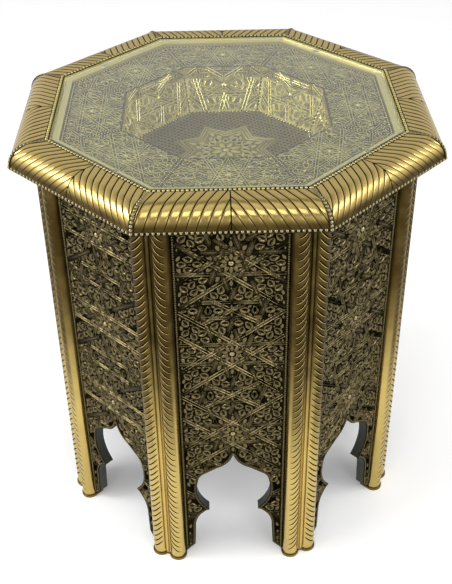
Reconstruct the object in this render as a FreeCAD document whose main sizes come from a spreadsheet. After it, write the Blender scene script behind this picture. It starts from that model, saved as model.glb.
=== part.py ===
"""Octagonal side table: a wooden carcass clad in brass sheet, with a glass top over a sunken tray.

Frame: millimetres, +Z up, the origin on the floor under the table's middle, the front panel facing -Y.
The eight sides are numbered from the front, anticlockwise seen from above; corner n follows side n.
"""

import FreeCAD, Part
import Sketcher

import math
import os

SIDES = 8
TURN = 360.0 / SIDES
FRONT = -90.0

# Driving dimensions, in millimetres. Apothem means the distance from the middle to a flat side.
SIZES = {
    # Rim of the top
    "overall_height": 541.5,
    "rim_apothem": 238.0,
    "rim_thickness": 25.5,
    "nose_radius": 23.5,
    "rim_flat": 20.2,
    "rebate_depth": 6.5,
    "ledge_width": 10.0,
    "under_fold": 15.0,
    "top_board_thickness": 14.0,
    # Brass sheet and clearances
    "sheet_thickness": 0.6,
    "curve_gap": 0.1,
    "butt_gap": 0.2,
    # Glass
    "glass_thickness": 5.0,
    "glass_gap": 1.5,
    "glass_chamfer": 1.2,
    "bumper_radius": 4.0,
    "bumper_height": 0.8,
    "bumper_along": 22.0,
    # Well
    "field_width": 67.3,
    "well_setback": 1.5,
    "well_inset": 13.0,
    "well_depth": 64.5,
    "well_board_thickness": 9.0,
    # Sides
    "rim_overhang": 34.0,
    "side_board_thickness": 12.0,
    # Twin columns on the corners
    "lobe_radius": 9.8,
    "lobe_offset": 12.0,
    "lobe_plinth": 1.5,
    "gutter_web": 1.2,
    "strip_radius": 1.8,
    "strip_rise": 3.3,
    "strip_foot": 4.0,
    "foot_thickness": 3.5,
    "foot_margin": 1.4,
    # Arch in each side, right half
    "arch_height": 177.5,
    "ogee_half": 20.0,
    "ogee_height": 154.5,
    "slope_half": 34.6,
    "slope_height": 145.5,
    "shoulder_half": 44.0,
    "shoulder_height": 131.5,
    "cusp_half": 30.5,
    "cusp_height": 82.0,
    "leg_inset": 14.2,
    "leg_height": 56.5,
    "clip_inset": 12.5,
    "clip_height": 17.5,
    # How far each arc of the arch swells, as a share of its chord
    "ogee_swell": 0.13,
    "shoulder_swell": 0.14,
    "lobe_swell": 0.14,
    "haunch_swell": 0.13,
    # Beaded strips
    "bead_height": 1.5,
    "bead_width": 4.0,
    "bead_inset": 0.5,
    "lower_bead_width": 4.6,
    "lower_bead_depth": 2.0,
    "lower_bead_drop": 0.5,
    "mitre_bead_width": 4.0,
    "mitre_bead_height": 1.2,
    "side_bead_width": 4.0,
    "side_bead_height": 1.2,
    "side_bead_foot": 9.5,
    "floor_bead_width": 3.0,
    "floor_bead_height": 1.2,
    # Corner blocks and their screws
    "block_reach": 30.0,
    "block_depth": 20.0,
    "block_height": 30.0,
    "screw_inset": 11.0,
    "screw_radius": 2.0,
    "screw_hole_gap": 0.1,
    "screw_bite": 10.0,
    "screw_head_radius": 4.0,
    "screw_head_height": 2.5,
}

# Places and sizes that follow from the driving dimensions, as spreadsheet formulas.
PLACES = {
    "slant": "tan(22.5)",
    "corner_sine": "sin(22.5)",
    "corner_cosine": "cos(22.5)",
    # Levels
    "rim_top": "sizes.overall_height - sizes.bead_height",
    "rim_under": "rim_top - sizes.rim_thickness",
    "board_under": "rim_under + sizes.sheet_thickness",
    "board_top": "board_under + sizes.top_board_thickness",
    "field_top": "board_top + sizes.sheet_thickness",
    "ledge_top": "rim_top - sizes.rebate_depth",
    "ledge_wood": "ledge_top - sizes.sheet_thickness",
    "nose_level": "rim_top - sizes.nose_radius",
    # Rim section
    "nose_start": "sizes.rim_apothem - sizes.nose_radius",
    "opening_apothem": "nose_start - sizes.rim_flat",
    "skin": "sizes.sheet_thickness + sizes.curve_gap",
    "rim_wood_top": "rim_top - skin",
    "rim_wood_apothem": "sizes.rim_apothem - skin",
    "nose_wood_radius": "sizes.nose_radius - skin",
    "rim_inner_top": "rim_top - sizes.sheet_thickness",
    "rim_inner_apothem": "sizes.rim_apothem - sizes.sheet_thickness",
    "nose_inner_radius": "sizes.nose_radius - sizes.sheet_thickness",
    "opening_wood": "opening_apothem + sizes.sheet_thickness",
    "ledge_edge": "opening_apothem - sizes.ledge_width",
    "ledge_wood_edge": "ledge_edge + sizes.sheet_thickness",
    "fold_end": "sizes.rim_apothem - sizes.under_fold",
    "nose_half": "nose_start * slant",
    "well_apothem": "ledge_edge - sizes.field_width",
    "well_floor_apothem": "well_apothem - sizes.well_inset",
    # Cutting planes of the mitres reach past every piece
    "mitre_near": "well_floor_apothem / 2",
    "mitre_near_half": "mitre_near * slant",
    "mitre_far": "sizes.rim_apothem + 20",
    "mitre_far_half": "mitre_far * slant",
    "bar_length": "2 * mitre_far_half",
    # Tray and well
    "field_edge": "ledge_edge - sizes.butt_gap",
    "well_wood": "well_apothem + sizes.sheet_thickness",
    "well_wood_half": "well_wood * slant",
    "floor_top": "rim_top - sizes.well_depth",
    "floor_board_top": "floor_top - sizes.sheet_thickness",
    "floor_board_under": "floor_board_top - sizes.well_board_thickness",
    "wall_top": "well_apothem + sizes.well_setback",
    "wall_lean": "sqrt(1 + ((wall_top - well_floor_apothem) / (board_under - floor_board_top)) ^ 2)",
    "wall_sheet_run": "sizes.sheet_thickness * wall_lean",
    "wall_board_run": "sizes.well_board_thickness * wall_lean",
    "wall_sheet_back_top": "wall_top + wall_sheet_run",
    "wall_sheet_back_foot": "well_floor_apothem + wall_sheet_run",
    "wall_board_back_top": "wall_sheet_back_top + wall_board_run",
    "wall_board_back_foot": "wall_sheet_back_foot + wall_board_run",
    "wall_board_back_foot_half": "wall_board_back_foot * slant",
    "floor_apothem": "well_floor_apothem - sizes.butt_gap",
    "floor_half": "floor_apothem * slant",
    "floor_bead_out": "floor_apothem - sizes.butt_gap",
    "floor_bead_in": "floor_bead_out - sizes.floor_bead_width",
    "floor_bead_top": "floor_top + sizes.floor_bead_height",
    # Glass
    "glass_under": "ledge_top + sizes.bumper_height",
    "glass_apothem": "opening_apothem - sizes.glass_gap",
    "glass_half": "glass_apothem * slant",
    "bumper_apothem": "ledge_edge + sizes.bumper_radius",
    # Sides
    "panel_apothem": "sizes.rim_apothem - sizes.rim_overhang",
    "side_half": "panel_apothem * slant",
    "board_overrun": "side_half + sizes.lobe_radius",
    "panel_half": "side_half - sizes.lobe_offset - sizes.lobe_radius - sizes.butt_gap",
    "side_inner": "panel_apothem - sizes.side_board_thickness",
    "side_height": "board_under - sizes.foot_thickness",
    "panel_front": "panel_apothem + sizes.sheet_thickness",
    "leg_half": "panel_half - sizes.leg_inset",
    "clip_half": "panel_half - sizes.clip_inset",
    # Arch arcs: radius of an arc from its chord and swell
    "ogee_radius": "hypot(sizes.ogee_half; sizes.arch_height - sizes.ogee_height)"
                   " * (1 + 4 * sizes.ogee_swell ^ 2) / (8 * sizes.ogee_swell)",
    "shoulder_radius": "hypot(sizes.shoulder_half - sizes.slope_half; sizes.slope_height - sizes.shoulder_height)"
                       " * (1 + 4 * sizes.shoulder_swell ^ 2) / (8 * sizes.shoulder_swell)",
    "lobe_arc_radius": "hypot(sizes.shoulder_half - sizes.cusp_half; sizes.shoulder_height - sizes.cusp_height)"
                       " * (1 + 4 * sizes.lobe_swell ^ 2) / (8 * sizes.lobe_swell)",
    "haunch_radius": "hypot(leg_half - sizes.cusp_half; sizes.cusp_height - sizes.leg_height)"
                     " * (1 + 4 * sizes.haunch_swell ^ 2) / (8 * sizes.haunch_swell)",
    # Corner columns, drawn with the corner along +X: the boards' corner and the lobe's middle
    "corner_x": "panel_apothem / corner_cosine",
    "lobe_x": "corner_x - sizes.lobe_offset * corner_sine + sizes.lobe_plinth * corner_cosine",
    "lobe_y": "sizes.lobe_offset * corner_cosine + sizes.lobe_plinth * corner_sine",
    "sleeve_inner_radius": "sizes.lobe_radius - sizes.sheet_thickness",
    "post_radius": "sizes.lobe_radius - skin",
    "foot_radius": "sizes.lobe_radius + sizes.foot_margin",
    "gutter_wood": "corner_x + sizes.gutter_web",
    "gutter_inner": "gutter_wood + sizes.curve_gap",
    "gutter_outer": "gutter_inner + sizes.sheet_thickness",
    "strip_crown": "gutter_outer + sizes.strip_rise",
    "strip_shoulder": "strip_crown - sizes.strip_radius",
    "strip_level": "sizes.foot_thickness + sizes.strip_foot",
    "strip_length": "board_under - strip_level",
    "inner_corner_x": "side_inner / corner_cosine",
    # Corner blocks and screws
    "block_tip_x": "inner_corner_x - sizes.block_reach * corner_sine",
    "block_tip_y": "sizes.block_reach * corner_cosine",
    "block_back_x": "inner_corner_x - sizes.block_depth",
    "block_under": "board_under - sizes.block_height",
    "screw_x": "inner_corner_x - sizes.screw_inset",
    "pilot_x": "screw_x * corner_cosine",
    "pilot_y": "screw_x * corner_sine",
    "screw_hole_radius": "sizes.screw_radius + sizes.screw_hole_gap",
    "screw_shank": "sizes.block_height + sizes.screw_bite",
    "pilot_depth": "sizes.screw_bite + sizes.screw_hole_gap",
    # Beaded strips: radius of a half-round section from its width and height
    "inner_bead_in": "opening_apothem + sizes.bead_inset",
    "inner_bead_out": "inner_bead_in + sizes.bead_width",
    "inner_bead_radius": "(sizes.bead_width ^ 2 / 4 + sizes.bead_height ^ 2) / (2 * sizes.bead_height)",
    "lower_bead_under": "rim_under - sizes.lower_bead_drop",
    "lower_bead_top": "lower_bead_under + sizes.lower_bead_width",
    "lower_bead_radius": "(sizes.lower_bead_width ^ 2 / 4 + sizes.lower_bead_depth ^ 2)"
                         " / (2 * sizes.lower_bead_depth)",
    "side_bead_x": "panel_half - sizes.side_bead_width",
    "side_bead_length": "board_under - sizes.side_bead_foot",
}

# The lobe outline of a column in three skins: wood, the inside and the outside of the brass, and the foot.
LOBE_SKINS = {
    "post": ("post_radius", "gutter_wood"),
    "sleeve_in": ("sleeve_inner_radius", "gutter_inner"),
    "sleeve_out": ("lobe_radius", "gutter_outer"),
    "foot": ("foot_radius", "gutter_outer"),
}
for lobe, (lobe_skin, gutter) in LOBE_SKINS.items():
    radius = ("sizes." if lobe_skin in SIZES else "") + lobe_skin
    PLACES[lobe + "_side_x"] = f"lobe_x - {radius} * corner_sine"
    PLACES[lobe + "_side_y"] = f"lobe_y + {radius} * corner_cosine"
    PLACES[lobe + "_root_x"] = f"{lobe}_side_x - sizes.lobe_plinth * corner_cosine"
    PLACES[lobe + "_root_y"] = f"{lobe}_side_y - sizes.lobe_plinth * corner_sine"
    PLACES[lobe + "_crown_x"] = f"lobe_x + {radius} * corner_cosine"
    PLACES[lobe + "_crown_y"] = f"lobe_y + {radius} * corner_sine"
    PLACES[lobe + "_gutter_y"] = f"lobe_y - sqrt({radius} ^ 2 - ({gutter} - lobe_x) ^ 2)"
PLACES["foot_heel_x"] = "foot_root_x - sizes.side_board_thickness * corner_cosine"
PLACES["foot_heel_y"] = "foot_root_y - sizes.side_board_thickness * corner_sine"

doc = FreeCAD.newDocument("octagonal_side_table")


def make_sheet(name, cells):
    """A spreadsheet with one named cell per row."""
    sheet = doc.addObject("Spreadsheet::Sheet", name)
    for row, (alias, content) in enumerate(cells.items(), start=1):
        sheet.set(f"A{row}", alias)
        sheet.set(f"B{row}", content)
        sheet.setAlias(f"B{row}", alias)
    return sheet


sizes = make_sheet("sizes", {alias: str(size) for alias, size in SIZES.items()})
places = make_sheet("places", {alias: "=" + formula for alias, formula in PLACES.items()})
doc.recompute()


def cell(alias):
    """The expression that reads a named cell, which may have a minus sign before it."""
    sign, name = ("-", alias[1:]) if alias.startswith("-") else ("", alias)
    return f"{sign}{'sizes' if name in SIZES else 'places'}.{name}"


def value(alias):
    """The number that a named cell holds, which may have a minus sign before it."""
    sign, name = (-1.0, alias[1:]) if alias.startswith("-") else (1.0, alias)
    return sign * float(getattr(sizes if name in SIZES else places, name))


def flip(alias):
    """The same cell with the other sign."""
    return alias[1:] if alias.startswith("-") else "-" + alias


def turn_about_z(degrees):
    return FreeCAD.Placement(FreeCAD.Vector(), FreeCAD.Rotation(FreeCAD.Vector(0, 0, 1), degrees))


def side_turn(number):
    """The turn that takes the front side to side number 1 to 8."""
    return turn_about_z(TURN * (number - 1))


def corner_turn(number):
    """The turn that takes the +X direction to corner number 1 to 8."""
    return turn_about_z(FRONT + TURN * (number - 0.5))


# Outlines: a list of corners, each a pair of cell names, with an arc's (radius, side) before its end corner.
def point_of(corner):
    """A corner as a vector; the name "axis" stands for zero."""
    return FreeCAD.Vector(*(0.0 if alias == "axis" else value(alias) for alias in corner), 0)


def arc_between(start, end, radius, side):
    """The short arc from start to end that swells to the left of the way for side 1, to the right for -1."""
    chord = end - start
    half = chord.Length / 2
    left = FreeCAD.Vector(-chord.y, chord.x, 0).normalize()
    rise = radius - math.sqrt(max(radius * radius - half * half, 0))
    middle = (start + end) * 0.5 + left * (rise * side)
    ends = (start, end) if side < 0 else (end, start)
    return Part.ArcOfCircle(ends[0], middle, ends[1])


def split_outline(outline):
    """Corners of an outline, and for each the arc that leads to the next corner, or None for a line."""
    corners = [step for step in outline if step[0] != "arc"]
    arcs = [None] * len(corners)
    seen = 0
    for step in outline:
        if step[0] == "arc":
            arcs[seen - 1] = step[1:]
        else:
            seen += 1
    return corners, arcs


def draw_outline(sketch, outline):
    """Draws a closed outline in a sketch, with every corner and radius bound to its cell."""
    corners, arcs = split_outline(outline)
    points = [point_of(corner) for corner in corners]
    first = sketch.GeometryCount
    curves, starts, ends = [], [], []
    for index, arc in enumerate(arcs):
        start, end = points[index], points[(index + 1) % len(points)]
        forward = arc is None or arc[1] < 0
        curves.append(Part.LineSegment(start, end) if arc is None
                      else arc_between(start, end, value(arc[0]), arc[1]))
        starts.append(1 if forward else 2)
        ends.append(2 if forward else 1)
    sketch.addGeometry(curves)
    rules, bound = [], {}
    for index, corner in enumerate(corners):
        place = (first + index, starts[index])
        before = index - 1 if index else len(corners) - 1
        rules.append(Sketcher.Constraint("Coincident", first + before, ends[before], *place))
        for alias, kind, axis in zip(corner, ("DistanceX", "DistanceY"), (-2, -1)):
            if alias == "axis":
                rules.append(Sketcher.Constraint("PointOnObject", *place, axis))
                continue
            bound[len(rules)] = alias
            rules.append(Sketcher.Constraint(kind, -1, 1, *place, value(alias)))
        if arcs[index]:
            bound[len(rules)] = arcs[index][0]
            rules.append(Sketcher.Constraint("Radius", first + index, value(arcs[index][0])))
    add_rules(sketch, rules, bound)


def draw_circle(sketch, middle, radius):
    """A circle whose middle is a corner, a pair of cell names, off both axes or on the X axis."""
    index = sketch.addGeometry(Part.Circle(point_of(middle), FreeCAD.Vector(0, 0, 1), value(radius)))
    rules = [
        Sketcher.Constraint("DistanceX", -1, 1, index, 3, value(middle[0])),
        Sketcher.Constraint("Radius", index, value(radius)),
    ]
    bound = {0: middle[0], 1: radius}
    if middle[1] == "axis":
        rules.append(Sketcher.Constraint("PointOnObject", index, 3, -1))
    else:
        bound[len(rules)] = middle[1]
        rules.append(Sketcher.Constraint("DistanceY", -1, 1, index, 3, value(middle[1])))
    add_rules(sketch, rules, bound)


def add_rules(sketch, rules, bound):
    """Adds constraints to a sketch and binds the numbered ones to their cells."""
    offset = sketch.ConstraintCount
    sketch.addConstraint(rules)
    for number, alias in bound.items():
        sketch.setExpression(f"Constraints[{offset + number}]", cell(alias))


# Features of a body
def new_body(label):
    body = doc.addObject("PartDesign::Body", label)
    body.Label = label
    return body


def new_sketch(body, name, plane, outlines, level=None):
    """A sketch on one of the body's origin planes, moved along the plane's normal by a named level."""
    sketch = body.newObject("Sketcher::SketchObject", name)
    support = next(feature for feature in body.Origin.OriginFeatures if feature.Role == plane)
    sketch.AttachmentSupport = [(support, "")]
    sketch.MapMode = "FlatFace"
    if level:
        sketch.setExpression("AttachmentOffset.Base.z", cell(level))
    for outline in outlines:
        draw_outline(sketch, outline)
    return sketch


def pad(body, sketch, length, side_type="One side", reverse=False):
    feature = body.newObject("PartDesign::Pad", "pad")
    feature.Profile = sketch
    feature.SideType = side_type
    feature.Reversed = reverse
    feature.Refine = False
    feature.setExpression("Length", cell(length))
    return feature


def mitre(body):
    """Cuts a bar of the front side back to the two mitre planes through the table's axis."""
    right = [("mitre_near_half", "-mitre_near"), ("mitre_far_half", "-mitre_far"),
             ("mitre_far", "-mitre_far"), ("mitre_far", "-mitre_near")]
    left = [(flip(across), along) for across, along in right]
    cut = body.newObject("PartDesign::Pocket", "mitre")
    cut.Profile = new_sketch(body, "mitre_lines", "XY_Plane", [right, left])
    cut.Type = "ThroughAll"
    cut.SideType = "Symmetric"
    cut.Refine = False
    return cut


def mitred_bar(label, section):
    """A bar along the front side, from its section in (apothem, height), mitred to the octagon."""
    body = new_body(label)
    outward = [step if step[0] == "arc" else (flip(step[0]), step[1]) for step in section]
    turned = [("arc", step[1], -step[2]) if step[0] == "arc" else step for step in outward]
    pad(body, new_sketch(body, "section", "YZ_Plane", [turned]), "bar_length", "Symmetric")
    mitre(body)
    return body


def octagon(apothem, half):
    """An octagon with flats to the front, back and sides; half is half the length of a flat."""
    quarter = [(half, flip(apothem)), (apothem, flip(half)), (apothem, half), (half, apothem)]
    return quarter + [(flip(across), along) for across, along in reversed(quarter)]


def octagon_plate(label, outlines, level, thickness):
    body = new_body(label)
    pad(body, new_sketch(body, "outline", "XY_Plane", outlines, level), thickness)
    return body


def ring(label, piece, turns):
    """A node of separate solids: the piece and a link to it at each further turn."""
    piece.Label = label + "_first"
    piece.Placement = turns[0]
    copies = [piece]
    for turn in turns[1:]:
        link = doc.addObject("App::Link", label + "_link")
        link.LinkedObject = piece
        link.Placement = turn
        copies.append(link)
    group = doc.addObject("Part::Compound", label)
    group.Label = label
    group.Links = copies
    return group


SIDE_TURNS = [side_turn(number) for number in range(1, SIDES + 1)]
CORNER_TURNS = [corner_turn(number) for number in range(1, SIDES + 1)]


# Sides: boards with an arch, and the brass sheet on each
def arch_outline():
    """The arch from the left foot over the apex to the right foot, in (across, height)."""
    right = [
        ("axis", "arch_height"),
        ("arc", "ogee_radius", -1),
        ("ogee_half", "ogee_height"),
        ("slope_half", "slope_height"),
        ("arc", "shoulder_radius", 1),
        ("shoulder_half", "shoulder_height"),
        ("arc", "lobe_arc_radius", 1),
        ("cusp_half", "cusp_height"),
        ("arc", "haunch_radius", 1),
        ("leg_half", "leg_height"),
        ("clip_half", "clip_height"),
        ("panel_half", "foot_thickness"),
    ]
    left = [step if step[0] == "arc" else (flip(step[0]), step[1]) for step in reversed(right[1:])]
    return left + right


def side_board(number):
    """A wooden side: full height, cut by the arch, mitred to its neighbours."""
    body = new_body(f"side_board_{number}")
    outline = [("-board_overrun", "foot_thickness")] + arch_outline()
    outline += [("board_overrun", "foot_thickness"), ("board_overrun", "board_under"),
                ("-board_overrun", "board_under")]
    sketch = new_sketch(body, "outline", "XZ_Plane", [outline], "panel_apothem")
    pad(body, sketch, "side_board_thickness", reverse=True)
    mitre(body)
    body.Placement = side_turn(number)
    return body


def panel_sheet(number):
    """The pierced brass sheet between two columns, cut to the same arch."""
    body = new_body(f"panel_sheet_{number}")
    outline = arch_outline() + [("panel_half", "board_under"), ("-panel_half", "board_under")]
    sketch = new_sketch(body, "outline", "XZ_Plane", [outline], "panel_apothem")
    pad(body, sketch, "sheet_thickness")
    body.Placement = side_turn(number)
    return body


# Corner columns: a wooden post with two lobes, its brass sleeve, and the foot plate
def lobes(skin, radius, gutter):
    """The front of a twin column, from the foot of one lobe over the gutter to the foot of the other."""
    lower = [
        (f"{skin}_root_x", f"-{skin}_root_y"),
        (f"{skin}_side_x", f"-{skin}_side_y"),
        ("arc", radius, -1),
        (f"{skin}_crown_x", f"-{skin}_crown_y"),
        ("arc", radius, -1),
        (gutter, f"-{skin}_gutter_y"),
    ]
    upper = [step if step[0] == "arc" else (step[0], flip(step[1])) for step in reversed(lower)]
    return lower + upper


def backwards(outline):
    """The same outline the other way round."""
    return [("arc", step[1], -step[2]) if step[0] == "arc" else step for step in reversed(outline)]


def corner_post(number):
    body = new_body(f"corner_post_{number}")
    outline = lobes("post", *LOBE_SKINS["post"]) + [("corner_x", "axis")]
    pad(body, new_sketch(body, "section", "XY_Plane", [outline], "foot_thickness"), "side_height")
    body.Placement = corner_turn(number)
    return body


def post_sleeve(number):
    body = new_body(f"post_sleeve_{number}")
    outside = lobes("sleeve_out", *LOBE_SKINS["sleeve_out"])
    inside = lobes("sleeve_in", *LOBE_SKINS["sleeve_in"])
    sketch = new_sketch(body, "section", "XY_Plane", [outside + backwards(inside)], "foot_thickness")
    pad(body, sketch, "side_height")
    body.Placement = corner_turn(number)
    return body


def foot_plates():
    body = new_body("foot_plate")
    heel = [("foot_heel_x", "foot_heel_y"), ("inner_corner_x", "axis"), ("foot_heel_x", "-foot_heel_y")]
    outline = lobes("foot", *LOBE_SKINS["foot"]) + heel
    pad(body, new_sketch(body, "outline", "XY_Plane", [outline]), "foot_thickness")
    return ring("foot_plates", body, CORNER_TURNS)


def gutter_strips():
    """Round-topped brass strips that cover the seam between the two lobes of each column."""
    body = new_body("gutter_strip")
    outline = [
        ("gutter_outer", "-strip_radius"),
        ("strip_shoulder", "-strip_radius"),
        ("arc", "strip_radius", -1),
        ("strip_crown", "axis"),
        ("arc", "strip_radius", -1),
        ("strip_shoulder", "strip_radius"),
        ("gutter_outer", "strip_radius"),
    ]
    pad(body, new_sketch(body, "section", "XY_Plane", [outline], "strip_level"), "strip_length")
    return ring("gutter_strips", body, CORNER_TURNS)


# Top: board, rim rails, brass rim
def top_board():
    """The octagonal board under the tray, open over the well, with a pilot hole at each corner block."""
    outline = octagon("nose_start", "nose_half")
    opening = octagon("well_wood", "well_wood_half")
    body = octagon_plate("top_board", [outline, opening], "board_under", "top_board_thickness")
    sketch = new_sketch(body, "pilot_circle", "XY_Plane", [], "board_under")
    draw_circle(sketch, ("pilot_x", "pilot_y"), "screw_hole_radius")
    pilot = body.newObject("PartDesign::Pocket", "pilot")
    pilot.Profile = sketch
    pilot.Reversed = True
    pilot.setExpression("Length", cell("pilot_depth"))
    doc.recompute()
    pattern = body.newObject("PartDesign::PolarPattern", "pilots")
    pattern.Originals = [pilot]
    pattern.Axis = (next(axis for axis in body.Origin.OriginFeatures if axis.Role == "Z_Axis"), [""])
    pattern.Angle = 360
    pattern.Occurrences = SIDES
    body.Tip = pattern
    return body


def rim_rails():
    """Wooden rails round the board, rounded outside, standing over the board's edge inside."""
    section = [
        ("opening_wood", "board_top"),
        ("nose_start", "board_top"),
        ("nose_start", "board_under"),
        ("rim_wood_apothem", "board_under"),
        ("rim_wood_apothem", "nose_level"),
        ("arc", "nose_wood_radius", -1),
        ("nose_start", "rim_wood_top"),
        ("opening_wood", "rim_wood_top"),
    ]
    return ring("rim_rails", mitred_bar("rim_rail", section), SIDE_TURNS)


def ledge_battens():
    """Battens on the board inside the rails, under the ledge that carries the glass."""
    section = [
        ("ledge_wood_edge", "board_top"),
        ("opening_wood", "board_top"),
        ("opening_wood", "ledge_wood"),
        ("ledge_wood_edge", "ledge_wood"),
    ]
    return ring("ledge_battens", mitred_bar("ledge_batten", section), SIDE_TURNS)


def rim_sheet(number):
    """The brass skin of one rim side, folded from the ledge over the nose to the underside."""
    outside = [
        ("fold_end", "rim_under"),
        ("rim_apothem", "rim_under"),
        ("rim_apothem", "nose_level"),
        ("arc", "nose_radius", -1),
        ("nose_start", "rim_top"),
        ("opening_apothem", "rim_top"),
        ("opening_apothem", "ledge_top"),
        ("ledge_edge", "ledge_top"),
        ("ledge_edge", "board_top"),
    ]
    inside = [
        ("fold_end", "board_under"),
        ("rim_inner_apothem", "board_under"),
        ("rim_inner_apothem", "nose_level"),
        ("arc", "nose_inner_radius", -1),
        ("nose_start", "rim_inner_top"),
        ("opening_wood", "rim_inner_top"),
        ("opening_wood", "ledge_wood"),
        ("ledge_wood_edge", "ledge_wood"),
        ("ledge_wood_edge", "board_top"),
    ]
    body = mitred_bar(f"rim_sheet_{number}", outside + backwards(inside))
    body.Placement = side_turn(number)
    return body


# Tray, well and glass
def tray_sheets():
    """Flat brass fields round the well, each with a flange bent down over the board's edge."""
    section = [
        ("well_apothem", "board_under"),
        ("well_wood", "board_under"),
        ("well_wood", "board_top"),
        ("field_edge", "board_top"),
        ("field_edge", "field_top"),
        ("well_apothem", "field_top"),
    ]
    return ring("tray_sheets", mitred_bar("tray_sheet", section), SIDE_TURNS)


def leaning_wall(label, front_top, front_foot, back_top, back_foot):
    section = [
        (front_foot, "floor_board_top"),
        (back_foot, "floor_board_top"),
        (back_top, "board_under"),
        (front_top, "board_under"),
    ]
    return ring(label, mitred_bar(label, section), SIDE_TURNS)


def glass_plate():
    """The loose glass, with its top and bottom edges ground to a chamfer."""
    outline = octagon("glass_apothem", "glass_half")
    body = octagon_plate("glass_plate", [outline], "glass_under", "glass_thickness")
    doc.recompute()
    plate = body.Tip
    flat = [
        f"Face{index}"
        for index, face in enumerate(plate.Shape.Faces, start=1)
        if abs(face.normalAt(0, 0).z) > 0.5
    ]
    chamfer = body.newObject("PartDesign::Chamfer", "ground_edges")
    chamfer.Base = (plate, flat)
    chamfer.setExpression("Size", cell("glass_chamfer"))
    return body


def glass_bumpers():
    """Clear round pads on the ledge, one on every second side, that carry the glass."""
    bumper = doc.addObject("Part::Cylinder", "glass_bumper")
    bumper.setExpression("Radius", cell("bumper_radius"))
    bumper.setExpression("Height", cell("bumper_height"))
    seat = FreeCAD.Vector(value("bumper_along"), value("-bumper_apothem"), value("ledge_top"))
    turns = [side_turn(number) * FreeCAD.Placement(seat, FreeCAD.Rotation()) for number in range(2, SIDES + 1, 2)]
    return ring("glass_bumpers", bumper, turns)


# Beaded strips
def inner_beads():
    section = [
        ("inner_bead_in", "rim_top"),
        ("inner_bead_out", "rim_top"),
        ("arc", "inner_bead_radius", -1),
    ]
    return ring("rim_inner_beads", mitred_bar("rim_inner_bead", section), SIDE_TURNS)


def lower_beads():
    section = [
        ("rim_apothem", "lower_bead_top"),
        ("rim_apothem", "lower_bead_under"),
        ("arc", "lower_bead_radius", -1),
    ]
    return ring("rim_lower_beads", mitred_bar("rim_lower_bead", section), SIDE_TURNS)


def floor_beads():
    section = [
        ("floor_bead_in", "floor_top"),
        ("floor_bead_out", "floor_top"),
        ("floor_bead_out", "floor_bead_top"),
        ("floor_bead_in", "floor_bead_top"),
    ]
    return ring("well_floor_beads", mitred_bar("well_floor_bead", section), SIDE_TURNS)


def nose_curve(height):
    """The nose's ellipse in a corner's own plane, a height above the brass, from the lower strip to the top."""
    across = value("nose_radius") / value("corner_cosine") + height
    upward = value("nose_radius") + height
    middle = FreeCAD.Vector(value("nose_start") / value("corner_cosine"), 0, value("nose_level"))
    start = math.asin(max(value("lower_bead_top") - value("nose_level"), 0) / upward)
    low = middle + FreeCAD.Vector(across * math.cos(start), 0, upward * math.sin(start))
    high = middle + FreeCAD.Vector(0, 0, upward)
    ellipse = Part.Ellipse(middle + FreeCAD.Vector(across, 0, 0), high, middle)
    turns = sorted(ellipse.parameter(end) for end in (low, high))
    if turns[1] - turns[0] > math.pi:
        turns = [turns[1], turns[0] + 2 * math.pi]
    return low, high, Part.ArcOfEllipse(ellipse, *turns).toShape()


def mitre_beads():
    """Strips over the rim's corner joints; the nose is an ellipse there, so each is a plain extruded face."""
    low_in, high_in, under = nose_curve(0)
    low_out, high_out, over = nose_curve(value("mitre_bead_height"))
    inner_end = value("inner_bead_out") / value("corner_cosine")
    end_in = FreeCAD.Vector(inner_end, 0, high_in.z)
    end_out = FreeCAD.Vector(inner_end, 0, high_out.z)
    edges = [
        under,
        Part.LineSegment(high_in, end_in).toShape(),
        Part.LineSegment(end_in, end_out).toShape(),
        Part.LineSegment(end_out, high_out).toShape(),
        over,
        Part.LineSegment(low_out, low_in).toShape(),
    ]
    half_width = value("mitre_bead_width") / 2
    face = Part.Face(Part.Wire(Part.__sortEdges__(edges)))
    face.translate(FreeCAD.Vector(0, -half_width, 0))
    strip = doc.addObject("Part::Feature", "mitre_bead")
    strip.Shape = face.extrude(FreeCAD.Vector(0, 2 * half_width, 0))
    return ring("mitre_beads", strip, CORNER_TURNS)


def side_beads():
    """Upright strips at both edges of each panel."""
    strip = doc.addObject("Part::Box", "panel_side_bead")
    strip.setExpression("Length", cell("side_bead_width"))
    strip.setExpression("Width", cell("side_bead_height"))
    strip.setExpression("Height", cell("side_bead_length"))
    front = value("-panel_front") - value("side_bead_height")
    lefts = (value("side_bead_x"), -value("panel_half"))
    seats = [FreeCAD.Placement(FreeCAD.Vector(left, front, value("side_bead_foot")), FreeCAD.Rotation())
             for left in lefts]
    return ring("panel_side_beads", strip, [turn * seat for turn in SIDE_TURNS for seat in seats])


# Hidden fastenings
def corner_blocks():
    """Blocks glued into the corners under the top board, each bored for one screw."""
    body = new_body("corner_block")
    outline = [
        ("inner_corner_x", "axis"),
        ("block_tip_x", "block_tip_y"),
        ("block_back_x", "block_tip_y"),
        ("block_back_x", "-block_tip_y"),
        ("block_tip_x", "-block_tip_y"),
    ]
    sketch = new_sketch(body, "outline", "XY_Plane", [outline], "block_under")
    draw_circle(sketch, ("screw_x", "axis"), "screw_hole_radius")
    pad(body, sketch, "block_height")
    return ring("corner_blocks", body, CORNER_TURNS)


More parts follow.
